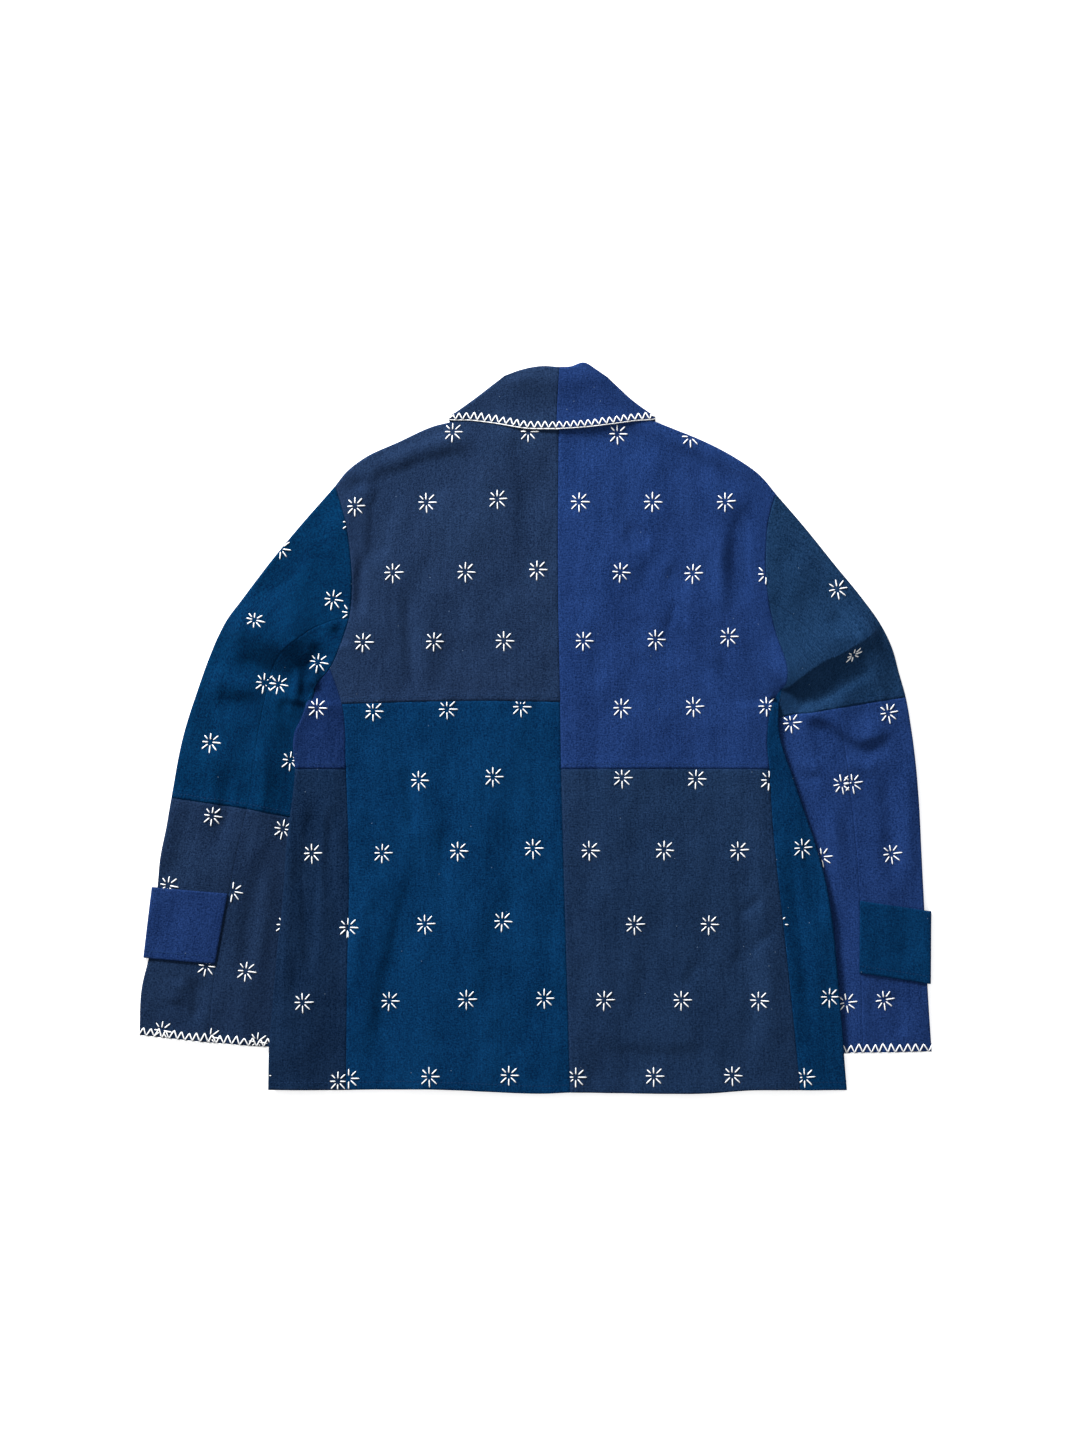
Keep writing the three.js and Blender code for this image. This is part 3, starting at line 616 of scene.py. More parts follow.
def over_tab(side, x, y):
    (ix, iy), (ox, oy), (_, by), _ = side.tab
    half = (iy - by) / 2
    middle = iy - half + (oy - iy) / (ox - ix) * (x - ix)
    along = 1 - smooth(*TAB_BESIDE, np.abs(y - middle) - half)
    return along * smooth(*TAB_SLOPE, np.abs(x) - abs(ix))


def sleeve_over(side):
    def height_at(x, y):
        outside = np.abs(x) - np.abs(side.side.x_at(y))
        tucked = below_underarm(x, y) * (1 - smooth(*SLEEVE_SLOPE, outside))
        height, shift = folded(x, y)
        free = capped(kept_apart(LOFT + height + crown(x, y) + ripples(x, y), rests(x, y)))
        away = (1 - tucked)[..., None]
        return lerp(free, TUCKED_LOFT, tucked), shift * away
    return height_at


def sleeve_under(side):
    return lambda x, y: (LAYER_LIFT * over_tab(side, x, y) + rests(x, y), still(x))


# ---- Grids ----
def fractions(length, cell=CELL, first=True, last=True):
    """Grid lines along a stretch, closer together beside the seams at its ends."""
    near = np.array(SEAM_CELLS if first else (0,), float)
    far = length - np.array(SEAM_CELLS if last else (0,), float)[::-1]
    count = max(2, round((far[0] - near[-1]) / cell))
    middle = np.linspace(near[-1], far[0], count + 1)
    return np.concatenate([near[:-1], middle, far[1:]]) / length


def patch(near, far, start, end, u, v):
    """The plan between four lines: near and far are the first and last rows, and start and end join
    their ends. u and v are the grid lines' fractions across and along."""
    a, b, c, d = near.run(u), far.run(u), start.run(v), end.run(v)
    u, v = u[None, :, None], v[:, None, None]
    corners = lerp(lerp(a[0], a[-1], u), lerp(b[0], b[-1], u), v)
    return lerp(a[None], b[None], v) + lerp(c[:, None], d[:, None], u) - corners


def shoulder_line(side):
    """The shoulder's height in the plan at a place across it."""
    points = side.shoulder.fine[np.argsort(side.shoulder.fine[:, 0])]
    return lambda x: np.interp(x, points[:, 0], points[:, 1])


left.shoulder_y, right.shoulder_y = shoulder_line(left), shoulder_line(right)


BLEND = 14              # the stretch over which a fold turns to the way that its end has


def outward(curve, first, last, shares, sign, start_way=None, end_way=None):
    """The way out of a fold line at shares of a stretch of it, turned to a given way at an end."""
    a, b = curve.places[first], curve.places[last]
    place = a + (b - a) * shares
    tangent = (curve.at_place(place + 1) - curve.at_place(place - 1)) * np.sign(b - a)
    out = np.stack([tangent[:, 1], -tangent[:, 0]], axis=1) * sign
    out /= np.linalg.norm(out, axis=1)[:, None]
    for way, gap in ((start_way, abs(place - a)), (end_way, abs(b - place))):
        if way is not None:
            out = lerp(np.array(way, float)[None], out, smooth(0, BLEND, gap)[:, None])
            out /= np.linalg.norm(out, axis=1)[:, None]
    return out


def lifted(plan, height):
    z, shift = height(plan[..., 0], plan[..., 1])
    return np.concatenate([plan + shift, z[..., None]], axis=-1)


def edge_distances(plan):
    """Each place's distance from the first and last columns and the first and last rows."""
    def away(axis, index):
        ends = np.take(plan, [index], axis=axis)
        return np.linalg.norm(plan - ends, axis=-1)
    return {"start": away(1, 0), "end": away(1, -1), "near": away(0, 0), "far": away(0, -1)}


PUCKER = Noise(SEED + 3, 5.5, 9)
PUCKER_HEIGHT, PUCKER_REACH = 0.45, 8
SEAM_DEPTH, LINE_DEPTH, ROW_DEPTH = 0.6, 0.35, 0.3      # how far the cloth sinks at a seam or a row
SEAM_HALF, HEM_HALF, FREE_HALF = 0.9, 0.7, 0.8          # and half the width over which it does
ALLOWANCE_HEIGHT, HEM_HEIGHT = 0.4, 0.45                # what the cloth that is turned in adds
ALLOWANCE_ROW, HEM_ROW, TAB_ROW = 6.2, 9, 8             # how far in the topstitches are
ALLOWANCE_GROOVE = ALLOWANCE_ROW + 0.2
ALLOWANCE_START, ALLOWANCE_END = (0.3, 1.6), (7.5, 9.5)     # where what is turned in starts and ends
HEM_END = (10.5, 12.5)


def dip(depth, away, half):
    """A soft groove's depth at a distance from its middle."""
    return depth * np.exp(-(away / half) ** 2)


def seamed(points, plan, edges, way=1):
    """Sinks the cloth into its seams, raises the allowance that is stitched down beside them and rounds
    its free edges. edges says what an edge is: line (a seam that is pressed flat), seam, stitched (a seam
    with its allowance stitched down), hem or free. An edge that it leaves out stays as it is."""
    distance = edge_distances(plan)
    z = np.zeros(plan.shape[:2])
    for edge, kind in edges.items():
        d = distance[edge]
        if kind == "line":
            z -= dip(LINE_DEPTH, d, SEAM_HALF)
        if kind in ("seam", "stitched"):
            along = plan[..., 1] if edge in ("start", "end") else plan[..., 0]
            z -= dip(SEAM_DEPTH, d, SEAM_HALF)
            z += PUCKER_HEIGHT * PUCKER(along, d) * np.exp(-d / PUCKER_REACH) * (1 - np.exp(-d))
        if kind == "stitched":
            z += ALLOWANCE_HEIGHT * smooth(*ALLOWANCE_START, d) * (1 - smooth(*ALLOWANCE_END, d))
            z -= dip(ROW_DEPTH, d - ALLOWANCE_GROOVE, SEAM_HALF)
        if kind == "hem":
            z += HEM_HEIGHT * (1 - smooth(*HEM_END, d))
            z -= dip(ROW_DEPTH, d - HEM_ROW, SEAM_HALF)
            z -= dip(SEAM_DEPTH, d, HEM_HALF)
        if kind == "free":
            z -= dip(SEAM_DEPTH, d, FREE_HALF)
    points = points.copy()
    points[..., 2] += way * z
    return points


DRAWN_LENGTH = 25       # the cloth beside a fold that is drawn in from it


def pulled(plan, edge, reach, length=DRAWN_LENGTH):
    """Moves the cloth beside an edge of its plan back from there, by the reach along that edge."""
    away = np.linalg.norm(plan - edge, axis=-1)
    return plan - (1 - smooth(0, length, away))[..., None] * reach


def drawn_in(plan, out):
    """Moves the cloth beside its last column's fold in from the fold's line, by the fold's reach."""
    return pulled(plan, plan[:, -1:], FOLD_REACH * out[:, None])


def bulged(high, low, out, angles):
    """Rows of points round a fold, from one edge to another, that stand out by the vectors out."""
    middle, half = (high + low) / 2, (high - low) / 2
    level = np.concatenate([out, np.zeros((len(out), 1))], axis=1)
    return [middle + half * math.sin(a) + level * math.cos(a) for a in angles]


FOLD_ANGLES = np.radians(np.linspace(90, -90, 10)[1:-1])    # round a fold, without its two edges
SHOULDER_ANGLES = np.radians((70, 50, 32, 15, 0))           # from an edge to the middle of the shoulder


def coarse(count):
    """Picks every few grid lines, for the cloth underneath."""
    return np.unique(np.linspace(0, count - 1, max(3, int(count * CELL / UNDER_CELL))).round().astype(int))


def over_fold(plan, out, over, under, edges, bottom=None):
    """A grid over the top plan, round its last column's fold and back underneath. out is the way out
    of the fold at each row."""
    plan = drawn_in(plan, out)
    top = seamed(lifted(plan, over), plan, edges)
    if bottom is None:
        bottom = plan[:, coarse(plan.shape[1])[::-1]]
    below = lifted(bottom, under)
    rounds = bulged(top[:, -1], below[:, 0], FOLD_REACH * out, FOLD_ANGLES)
    return np.concatenate([top, *(r[:, None] for r in rounds), below], axis=1)


def over_shoulder(plan, out, way, over, under, edges, share=1.0):
    """A grid whose last row turns to the middle of the shoulder, down from above or up from below. At
    the neck, where share is 0, the cloth stays flat."""
    share = np.broadcast_to(share, len(out))[:, None]
    turned = out * share * FOLD_REACH
    plan = pulled(plan, plan[-1:], turned)
    points = seamed(lifted(plan, over if way > 0 else under), plan, edges, way)
    high, low = lifted(plan[-1:], over)[0], lifted(plan[-1:], under)[0]
    high, low = (points[-1], low) if way > 0 else (high, points[-1])
    rounds = bulged(high, low, turned, way * SHOULDER_ANGLES)
    ahead = np.concatenate([out, np.zeros((len(out), 1))], axis=1)
    rows = [lerp(points[-1] + 0.15 * (k + 1) * ahead, r, share) for k, r in enumerate(rounds)]
    return np.concatenate([points, *(r[None] for r in rows)], axis=0)


# ---- Surfaces, and the objects made from them ----
class Surface:
    """The outer face of a piece of cloth: a grid of points, with its normals outwards."""

    def __init__(self, name, points, faces_down=False):
        points[..., 2] = np.maximum(points[..., 2], 0.1)
        self.name, self.points = name, points
        normal = unit(np.cross(np.gradient(points, axis=1), np.gradient(points, axis=0)))
        upward = normal[:, : max(2, points.shape[1] // 4), 2].sum() > 0
        flipped = upward == faces_down
        self.normals = -normal if flipped else normal
        rows, columns = points.shape[:2]
        index = np.arange(rows * columns).reshape(rows, columns)
        quads = [index[:-1, :-1], index[:-1, 1:], index[1:, 1:], index[1:, :-1]]
        self.quads = np.stack(quads[::-1] if flipped else quads, axis=-1).reshape(-1, 4)
        self.tree = BVHTree.FromPolygons(points.reshape(-1, 3).tolist(), self.quads.tolist())

    def meets(self, x, y, below=False):
        """Where the cloth is at a place in the plan, seen from above or below, with its normal."""
        start, way = ((x, y, -50), (0, 0, 1)) if below else ((x, y, 90), (0, 0, -1))
        at, normal, _, _ = self.tree.ray_cast(start, way)
        if at is None:
            return None
        return np.array(at), np.array(normal) * (-1 if (normal.z > 0) == below else 1)

    def beside(self, edge, places, depth):
        """Points and normals at distances along an edge, and at a depth in from it, square to it."""
        points, normals = self.points, self.normals
        if edge in ("start", "end"):
            points, normals = points.transpose(1, 0, 2), normals.transpose(1, 0, 2)
        if edge in ("far", "end"):
            points, normals = points[::-1], normals[::-1]
        run = distances(points[0])

        def on_edge(rows, place):
            return np.stack([np.interp(place, run, rows[:, k]) for k in range(3)], axis=1)

        at, normal, deeper = (on_edge(r, places) for r in (points[0], normals[1], points[4]))
        along = on_edge(points[0], places + 1.5) - on_edge(points[0], places - 1.5)
        inward = np.cross(along, normal)
        inward *= np.sign((inward * (deeper - at)).sum(axis=1))[:, None]
        found, ways = [], []
        for place, reach, way in zip(at, depth, unit(inward)):
            near, near_normal, _, _ = self.tree.find_nearest(tuple(place + reach * way))
            found.append(near)
            ways.append(near_normal)
        return np.array(found), np.array(ways)

    def edge_length(self, edge):
        points = self.points[{"near": 0, "far": -1}[edge]] if edge in ("near", "far") else \
            self.points[:, {"start": 0, "end": -1}[edge]]
        return spacing(points).sum()

    def cut(self):
        """The width, length and area of the flat cut, in metres."""
        a, b, c, d = (self.points.reshape(-1, 3)[self.quads[:, k]] for k in range(4))
        area = np.linalg.norm(np.cross(c - a, d - b), axis=1).sum() / 2
        width, length = (spacing(self.points, axis).sum(axis=axis).max() for axis in (1, 0))
        return width * MM, length * MM, min(area, width * length) * MM * MM


def mesh_object(name, vertices, faces, material):
    """A smooth mesh object from places in the garment's plan, moved into the frame, in metres."""
    mesh = bpy.data.meshes.new(name)
    placed = (np.asarray(vertices).reshape(-1, 3) + ORIGIN) * MM
    mesh.from_pydata(placed.tolist(), [], faces)
    mesh.update()
    mesh.polygons.foreach_set("use_smooth", np.ones(len(mesh.polygons), bool))
    mesh.materials.append(material)
    piece = bpy.data.objects.new(name, mesh)
    bpy.context.scene.collection.objects.link(piece)
    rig.ride(piece, "root")
    return piece


def cloth_object(surface, colour, thickness=CLOTH):
    """A thin shell inside a surface, with its weave running along the grid."""
    points = surface.points
    # A piece's own tone, or a darker copy of its cloth that paints shade on it, in place of its cloth's colour
    dye = OWN_DYE_AND_SHADE.get(surface.name, COTTON[colour])
    piece = mesh_object(f"{surface.name}_cloth", points, surface.quads.tolist(), dye)
    across, along = distances(points, 1), distances(points)
    along = np.broadcast_to(along[:, :1] * 0.5 + along[:, along.shape[1] // 3, None] * 0.5, along.shape)
    shift = np.random.default_rng(sum(map(ord, surface.name))).uniform(0, 900, 2)
    weave = np.stack([across, along], axis=-1).reshape(-1, 2) + shift
    mesh = piece.data
    layer = mesh.uv_layers.new(name="weave")
    index = np.empty(len(mesh.loops), int)
    mesh.loops.foreach_get("vertex_index", index)
    layer.data.foreach_set("uv", (weave[index] * MM).ravel())
    shell = piece.modifiers.new("shell", "SOLIDIFY")
    shell.thickness = thickness * MM
    shell.offset = -1
    shell.use_rim = True
    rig.replaces(piece, surface.name)
    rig.slot(piece, colour)
    return piece


# ---- Stitches ----
THREAD_SIDES = 6
STITCH_POINTS = 8           # along a stitch between two places in the plan
THREAD_FLATNESS = 0.85      # a thread's height for its width
# Topstitches: from one to the next, the stitch's share of that, its thread and where they start
TOPSTITCH_PITCH, TOPSTITCH_SHARE, TOPSTITCH_THREAD, TOPSTITCH_SKIP = 3.4, 0.72, 0.26, 2.0


class Stitches:
    """The stitches on one piece of cloth, as one mesh."""

    def __init__(self, surface):
        self.surface = surface
        self.vertices, self.faces, self.count = [], [], 0

    def tube(self, places, normals, radius):
        """A thread through places on the cloth, with its radius at each of them."""
        along = unit(np.gradient(places, axis=0))
        across = unit(np.cross(along, normals))
        up = np.cross(across, along)
        turn = 2 * math.pi * np.arange(THREAD_SIDES) / THREAD_SIDES
        ring = (np.cos(turn)[None, :, None] * across[:, None]
                + THREAD_FLATNESS * np.sin(turn)[None, :, None] * up[:, None])
        vertices = places[:, None] + np.asarray(radius)[:, None, None] * ring
        rows = len(places)
        index = self.count + np.arange(rows * THREAD_SIDES).reshape(rows, THREAD_SIDES)
        after = np.roll(index, -1, axis=1)
        quads = np.stack([index[:-1], index[1:], after[1:], after[:-1]], axis=-1).reshape(-1, 4)
        self.vertices.append(vertices.reshape(-1, 3))
        self.faces += quads.tolist() + [index[0].tolist(), index[-1, ::-1].tolist()]
        self.count += rows * THREAD_SIDES

    def stroke(self, places, normals, radius, lift=0.3):
        """A stitch that comes up from the cloth, lies on it and goes down again. Its ends are round."""
        t = np.linspace(0, 1, len(places))
        swell = np.sqrt(np.clip(1 - np.abs(2 * t - 1) ** 6, 0, 1)) * 0.85 + 0.15
        rise = radius * (lift + 0.9 * np.clip(1 - np.abs(2 * t - 1) ** 4, 0, 1) - 0.5)
        self.tube(places + normals * rise[:, None], normals, radius * swell)

    def over(self, a, b, radius, below=False):
        """A stitch between two places in the plan, where they are on this cloth."""
        run = [self.surface.meets(*lerp(a, b, t), below) for t in np.linspace(0, 1, STITCH_POINTS)]
        run = [hit if hit and hit[1][2] * (-1 if below else 1) > STEEPEST else None for hit in run]
        while run and run[0] is None:
            run.pop(0)
        if None in run:
            run = run[:run.index(None)]
        if len(run) > 2:
            places, normals = zip(*run)
            self.stroke(np.array(places), np.array(normals), radius)

    def made(self, name, material):
        if not self.vertices:
            return None
        return mesh_object(name, np.concatenate(self.vertices), self.faces, material)


# A star's strokes: the compass angle of each, and how far from the middle it starts and ends
STAR = ((90, 2.4, 9.4), (45, 3.6, 10.8), (0, 2.0, 11.0), (-45, 2.8, 10.6),
        (-90, 3.0, 11.0), (-135, 2.9, 10.5), (180, 2.0, 8.0), (135, 3.8, 9.2))
STAR_THREAD = 0.62
STEEPEST = 0.25         # the least upward share of a face that takes a stitch
# Stars on a steep fold: the fold's compass angle, and how much of the star's depth shows across it
STEEP_STARS = {(293, 435): (38, 0.45), (-305, 470): (-20, 0.75)}


def star(stitches, x, y, turn, random, below=False):
    """One embroidered star, with the small slips of a hand."""
    slip = random.uniform(-0.35, 0.35, 2)
    slope, share = STEEP_STARS.get((x, y), (0, 1))
    across = np.array([-math.sin(math.radians(slope)), math.cos(math.radians(slope))])
    for angle, start, end in STAR:
        way = math.radians(turn + angle + random.uniform(-3, 3))
        ray = np.array([math.cos(way), math.sin(way)])
        ray = ray - (1 - share) * (ray @ across) * across
        centre = np.array([x, y]) + slip
        end += random.uniform(-0.5, 0.5)
        thread = STAR_THREAD * random.uniform(0.92, 1.08)
        stitches.over(centre + ray * start, centre + ray * end, thread, below)


# The thread along an edge: the step between its points, how far out from the edge it lies and how far
# down, and how much its thickness swells with the stitches and varies by chance
TIE_STEP, TIE_OUT, TIE_DOWN, TIE_SWELL, TIE_CHANCE = 2.2, 0.35, 0.2, 0.18, 0.08
FOOT_DEPTH = 0.2        # where a stitch starts, in from the edge


def edge_stitches(stitches, edge, random, pitch, depth, thread, uneven):
    """Stitches in triangles along an edge, and the thread that ties them together on it."""
    surface = stitches.surface
    length = surface.edge_length(edge)
    count = max(1, round(length / pitch))
    base = length * np.arange(count + 1) / count
    base[1:-1] += random.uniform(-uneven, uneven, count - 1)
    apex = (base[1:] + base[:-1]) / 2 + random.uniform(-uneven, uneven, count)
    deep = depth + random.uniform(-1, 1, count) * (0.3 + uneven)
    for k in range(count):
        for foot in (base[k], base[k + 1]):
            t = np.linspace(0, 1, 7)
            places, normals = surface.beside(edge, lerp(foot, apex[k], t), lerp(FOOT_DEPTH, deep[k], t))
            stitches.stroke(places, normals, thread)
    steps = np.linspace(0, length, max(8, int(length / TIE_STEP)))
    places, normals = surface.beside(edge, steps, np.full(len(steps), 0.1))
    inner, _ = surface.beside(edge, steps, np.full(len(steps), 1.6))
    chance = random.uniform(-TIE_CHANCE, TIE_CHANCE, len(steps))
    wobble = 1 + TIE_SWELL * np.sin(steps * 2 * math.pi / pitch) + chance
    stitches.tube(places + TIE_OUT * unit(places - inner) - TIE_DOWN * normals, normals, thread * wobble)


def topstitches(stitches, edge, depth):
    """A row of small running stitches beside an edge."""
    last = stitches.surface.edge_length(edge) - TOPSTITCH_SKIP - TOPSTITCH_PITCH
    for place in np.arange(TOPSTITCH_SKIP, last, TOPSTITCH_PITCH):
        run = place + np.linspace(0, TOPSTITCH_PITCH * TOPSTITCH_SHARE, 4)
        places, normals = stitches.surface.beside(edge, run, np.full(4, depth))
        stitches.stroke(places, normals, TOPSTITCH_THREAD, lift=0.1)


# ---- Materials ----
def node(tree, kind, inputs=(), **settings):
    made = tree.nodes.new(kind)
    for key, value in settings.items():
        setattr(made, key, value)
    for socket, value in dict(inputs).items():
        if isinstance(value, bpy.types.NodeSocket):
            tree.links.new(value, made.inputs[socket])
        else:
            made.inputs[socket].default_value = value
    return made


def math_node(tree, operation, a, b=0.0):
    return node(tree, "ShaderNodeMath", {0: a, 1: b}, operation=operation).outputs[0]


def stretched_noise(tree, where, across, along, detail=2.0):
    """Noise with grains of those sizes, in millimetres, along the weave's two ways."""
    grains = (1 / (across * MM), 1 / (along * MM), 1)
    place = node(tree, "ShaderNodeVectorMath", {0: where, 1: grains}, operation="MULTIPLY").outputs[0]
    noise = {"Vector": place, "Scale": 1.0, "Detail": detail, "Roughness": 0.55}
    return node(tree, "ShaderNodeTexNoise", noise, noise_dimensions="2D").outputs["Fac"]


def mixed(tree, share, a, b, **settings):
    """The colour from a to b at a share."""
    return node(tree, "ShaderNodeMix", {0: share, 6: a, 7: b}, data_type="RGBA", **settings).outputs[2]


# How far the cotton's colour goes from its own, in its light and dark threads
THREAD_SHADES = (0.0012, 0.0018, 0.0022)
THREAD_SHARE = 0.2
THREAD_STEP = 0.42      # millimetres from one thread to the next
# The grains of its unevenness, in millimetres along the weave's two ways, and their detail
WARP, WEFT, SLUBS, GRAIN = (0.9, 4), (4, 1.0), (2.0, 70, 1.0), (1.7, 1.8)
BLOTCH, FADING = (7, 11, 3.0), (40, 70)
SHOWN = (0.8, 0.8, 0.35, 1.5)   # how much the warp, the weft, the slubs and the grain show in the colour
WEAVE_HEIGHT = 0.22     # of the woven threads in the relief, where the noises' is 1
RELIEF_STRENGTH, RELIEF_DEPTH = 0.8, 0.4
# Lint: how many places there are for it in a metre, its size in them, how few have any, and how it shows
LINT_PLACES, LINT_SIZE, LINT_RARITY, LINT_SHARE = 150.0, 0.07, 0.995, 0.3
LINT_COLOUR = (0.30, 0.42, 0.56, 1)


def new_material(name):
    """A material with an empty tree."""
    material = bpy.data.materials.new(name)
    material.use_nodes = True
    material.node_tree.nodes.clear()
    return material, material.node_tree


def cotton(name, colour, mottle=0.36):
    """Plain-woven, garment-dyed cotton and linen: uneven threads both ways, mottled dye and some lint."""
    material, tree = new_material(f"{name}_cotton")
    where = node(tree, "ShaderNodeUVMap", uv_map="weave").outputs["UV"]
    noises = [stretched_noise(tree, where, *sizes) for sizes in (WARP, WEFT, SLUBS, GRAIN, BLOTCH, FADING)]
    warp, weft, _, grain, _, _ = noises
    share = 0.5
    for noise, amount in zip(noises, (*SHOWN, mottle, mottle)):
        centred = math_node(tree, "SUBTRACT", noise, 0.5)
        share = math_node(tree, "ADD", math_node(tree, "MULTIPLY", centred, amount), share)
    apart = [2 * (min(v, c) + THREAD_SHARE * c) for c, v in zip(colour, THREAD_SHADES)]
    dark = [max(0.0, c - a) for c, a in zip(colour, apart)]
    light = [c + a for c, a in zip(colour, apart)]
    dyed = mixed(tree, share, (*dark, 1), (*light, 1))
    places = {"Vector": where, "Scale": LINT_PLACES}
    cells = node(tree, "ShaderNodeTexVoronoi", places, voronoi_dimensions="2D")
    small = math_node(tree, "LESS_THAN", cells.outputs["Distance"], LINT_SIZE)
    parted = node(tree, "ShaderNodeSeparateColor", {0: cells.outputs["Color"]})
    rare = math_node(tree, "GREATER_THAN", parted.outputs[0], LINT_RARITY)
    lint = math_node(tree, "MULTIPLY", math_node(tree, "MULTIPLY", small, rare), LINT_SHARE)
    plane = node(tree, "ShaderNodeSeparateXYZ", {0: where})
    turn = math.pi / (THREAD_STEP * MM)
    over = math_node(tree, "SINE", math_node(tree, "MULTIPLY", plane.outputs[0], turn))
    under = math_node(tree, "SINE", math_node(tree, "MULTIPLY", plane.outputs[1], turn))
    threads = math_node(tree, "MULTIPLY", math_node(tree, "MULTIPLY", over, under), WEAVE_HEIGHT)
    rough = math_node(tree, "ADD", warp, weft)
    rough = math_node(tree, "ADD", rough, math_node(tree, "ADD", grain, threads))
    relief = {"Strength": RELIEF_STRENGTH, "Distance": RELIEF_DEPTH * MM, "Height": rough}
    bump = node(tree, "ShaderNodeBump", relief)
    shader = node(tree, "ShaderNodeBsdfPrincipled", {
        "Base Color": mixed(tree, lint, dyed, LINT_COLOUR),
        "Roughness": 0.95,
        "Specular IOR Level": 0.03,
        "Normal": bump.outputs[0],
    })
    node(tree, "ShaderNodeOutputMaterial", {"Surface": shader.outputs[0]})
    return material


def thread_material(name, colour, shine=0.3):
    """Spun thread: plies that show as fine slanted ridges."""
    material, tree = new_material(name)
    where = node(tree, "ShaderNodeTexCoord").outputs["Object"]
    noise = {"Vector": where, "Scale": 900.0, "Detail": 2.0}
    plies = node(tree, "ShaderNodeTexNoise", noise).outputs["Fac"]
    shade = math_node(tree, "ADD", math_node(tree, "MULTIPLY", plies, 0.24), 0.86)
    bump = node(tree, "ShaderNodeBump", {"Strength": 0.4, "Distance": 0.0003, "Height": plies})
    shader = node(tree, "ShaderNodeBsdfPrincipled", {
        "Base Color": mixed(tree, 1.0, (*colour, 1), shade, blend_type="MULTIPLY"),
        "Roughness": 0.75,
        "Specular IOR Level": shine,
        "Normal": bump.outputs[0],
    })
    node(tree, "ShaderNodeOutputMaterial", {"Surface": shader.outputs[0]})
    return material


# Where the plan's origin is in the frame. The solids' hem is drawn back a little at the side panel's edge
HEM_DRAWN = 0.12
ORIGIN = np.array([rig.box("side_left_lower")[0][0] / MM - left.side.keys[0][0],
                   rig.box("side_left_lower")[0][1] / MM - HEM_DRAWN, 0])

COTTON = {
    "navy": cotton("navy", (0.0102, 0.0238, 0.0610)),
    "teal": cotton("teal", (0.0006, 0.0238, 0.0765), 0.5),
    "royal": cotton("royal", (0.0097, 0.0295, 0.1120)),
    "petrol": cotton("petrol", (0.0072, 0.0272, 0.0720), 0.4),
}
# Pieces with a colour other than the rest of their cloth. Some are real tones; the darker copies on the left sleeve,
# its cuff tab and the left side panels are painted shade.
# Darker copies of teal and navy: painted shade over the left sleeve
LEFT_SLEEVE_SHADED_TEAL = cotton("teal_deeper", (0.0002, 0.0192, 0.0610), 0.5)
LEFT_SLEEVE_SHADED_NAVY = cotton("navy_worn", (0.0080, 0.0198, 0.0510))
OWN_DYE_AND_SHADE = {
    "sleeve_left_outer_upper": LEFT_SLEEVE_SHADED_TEAL,
    "sleeve_left_inner_upper": LEFT_SLEEVE_SHADED_TEAL,
    "sleeve_left_outer_lower": LEFT_SLEEVE_SHADED_NAVY,
    "sleeve_left_inner_lower": LEFT_SLEEVE_SHADED_NAVY,
    # a darker royal: painted shade on the left cuff tab
    "cuff_tab_left": cotton("royal_worn", (0.0084, 0.0250, 0.0940)),
    "collar_right": cotton("royal_collar", (0.0088, 0.0256, 0.0970)),
    "back_lower_right": cotton("navy_bluer", (0.0082, 0.0228, 0.0600)),
    # darker navy and royal: painted shade on the left side panels
    "side_left_lower": cotton("navy_deeper", (0.0048, 0.0160, 0.0440)),
    "side_left_upper": cotton("royal_deeper", (0.0054, 0.0180, 0.0710)),
}
WHITE_THREAD = thread_material("white_thread", (0.88, 0.89, 0.89))
BLUE_THREAD = thread_material("blue_thread", (0.011, 0.034, 0.095), 0.03)

# ---- Where the stars are, charted by rows: the first star's place, and where there are more, the step to
# the next and how many ----
STAR_ROWS = {
    "back_upper_left": [(-107, 658, 75, 0, 2), (-205, 584, 71, 3.5, 3), (-167, 517, 72, 1.5, 3),
                        (-197, 448, 70.5, 0.5, 3)],
    "back_lower_left": [(-187, 379, 74, 2, 3), (-141, 310, 74, 3, 2), (-178, 237, 75.5, 2.5, 3),
                        (-212, 163, 77, 3, 3), (-171, 89, 77.5, 1.5, 3), (-211, 12, 80, 1.5, 3)],
    "back_upper_right": [(57, 656, 73, -3, 2), (19, 588, 73, 0, 3), (60, 518, 73, -1, 3),
                         (23, 449, 72.5, 2, 3), (61, 382, 72.5, 1, 3)],
    "back_lower_right": [(62, 312, 73.5, -1, 3), (29, 240, 74.5, 0, 3), (74, 166, 75, 0, 2),
                         (44, 90, 77, 0, 3), (16, 13, 78, 1, 3)],
    "side_left_upper": [(-243, 382)],
    "side_left_lower": [(-248, 237), (-212, 163), (-257, 88), (-222, 9), (-299, 15)],
    "side_right": [(242, 242), (217, 166), (269, 93), (244, 13)],
    "sleeve_left_outer_upper": [(-279, 541), (-305, 470), (-227, 491), (-350, 348), (-296, 407, 14, -1, 2),
                                (-209, 567), (-210, 477)],
    "sleeve_left_inner_upper": [(-242, 428), (-296, 407), (-282, 406), (-270, 330)],
    "sleeve_left_outer_lower": [(-348, 274), (-392, 205), (-354, 124), (-398, 60)],
    "sleeve_left_inner_lower": [(-277, 261), (-327, 199), (-314, 119), (-275.5, 165), (-350, 53, 47, -5, 2)],
    "sleeve_right_outer_upper": [(277, 501), (293, 435)],
    "sleeve_right_inner_upper": [(208, 453)],
    "sleeve_right_outer_lower": [(328, 377), (281, 306, 11, 1, 2), (331, 236), (324, 90)],
    "sleeve_right_inner_lower": [(231, 367), (281, 306, 11, 1, 2), (262, 233), (286, 87)],
}
HIDDEN_PITCH = (75, 73)    # between the stars underneath, across and along
SLEEVE_TURN = 8         # degrees that the stars on a sleeve turn with it
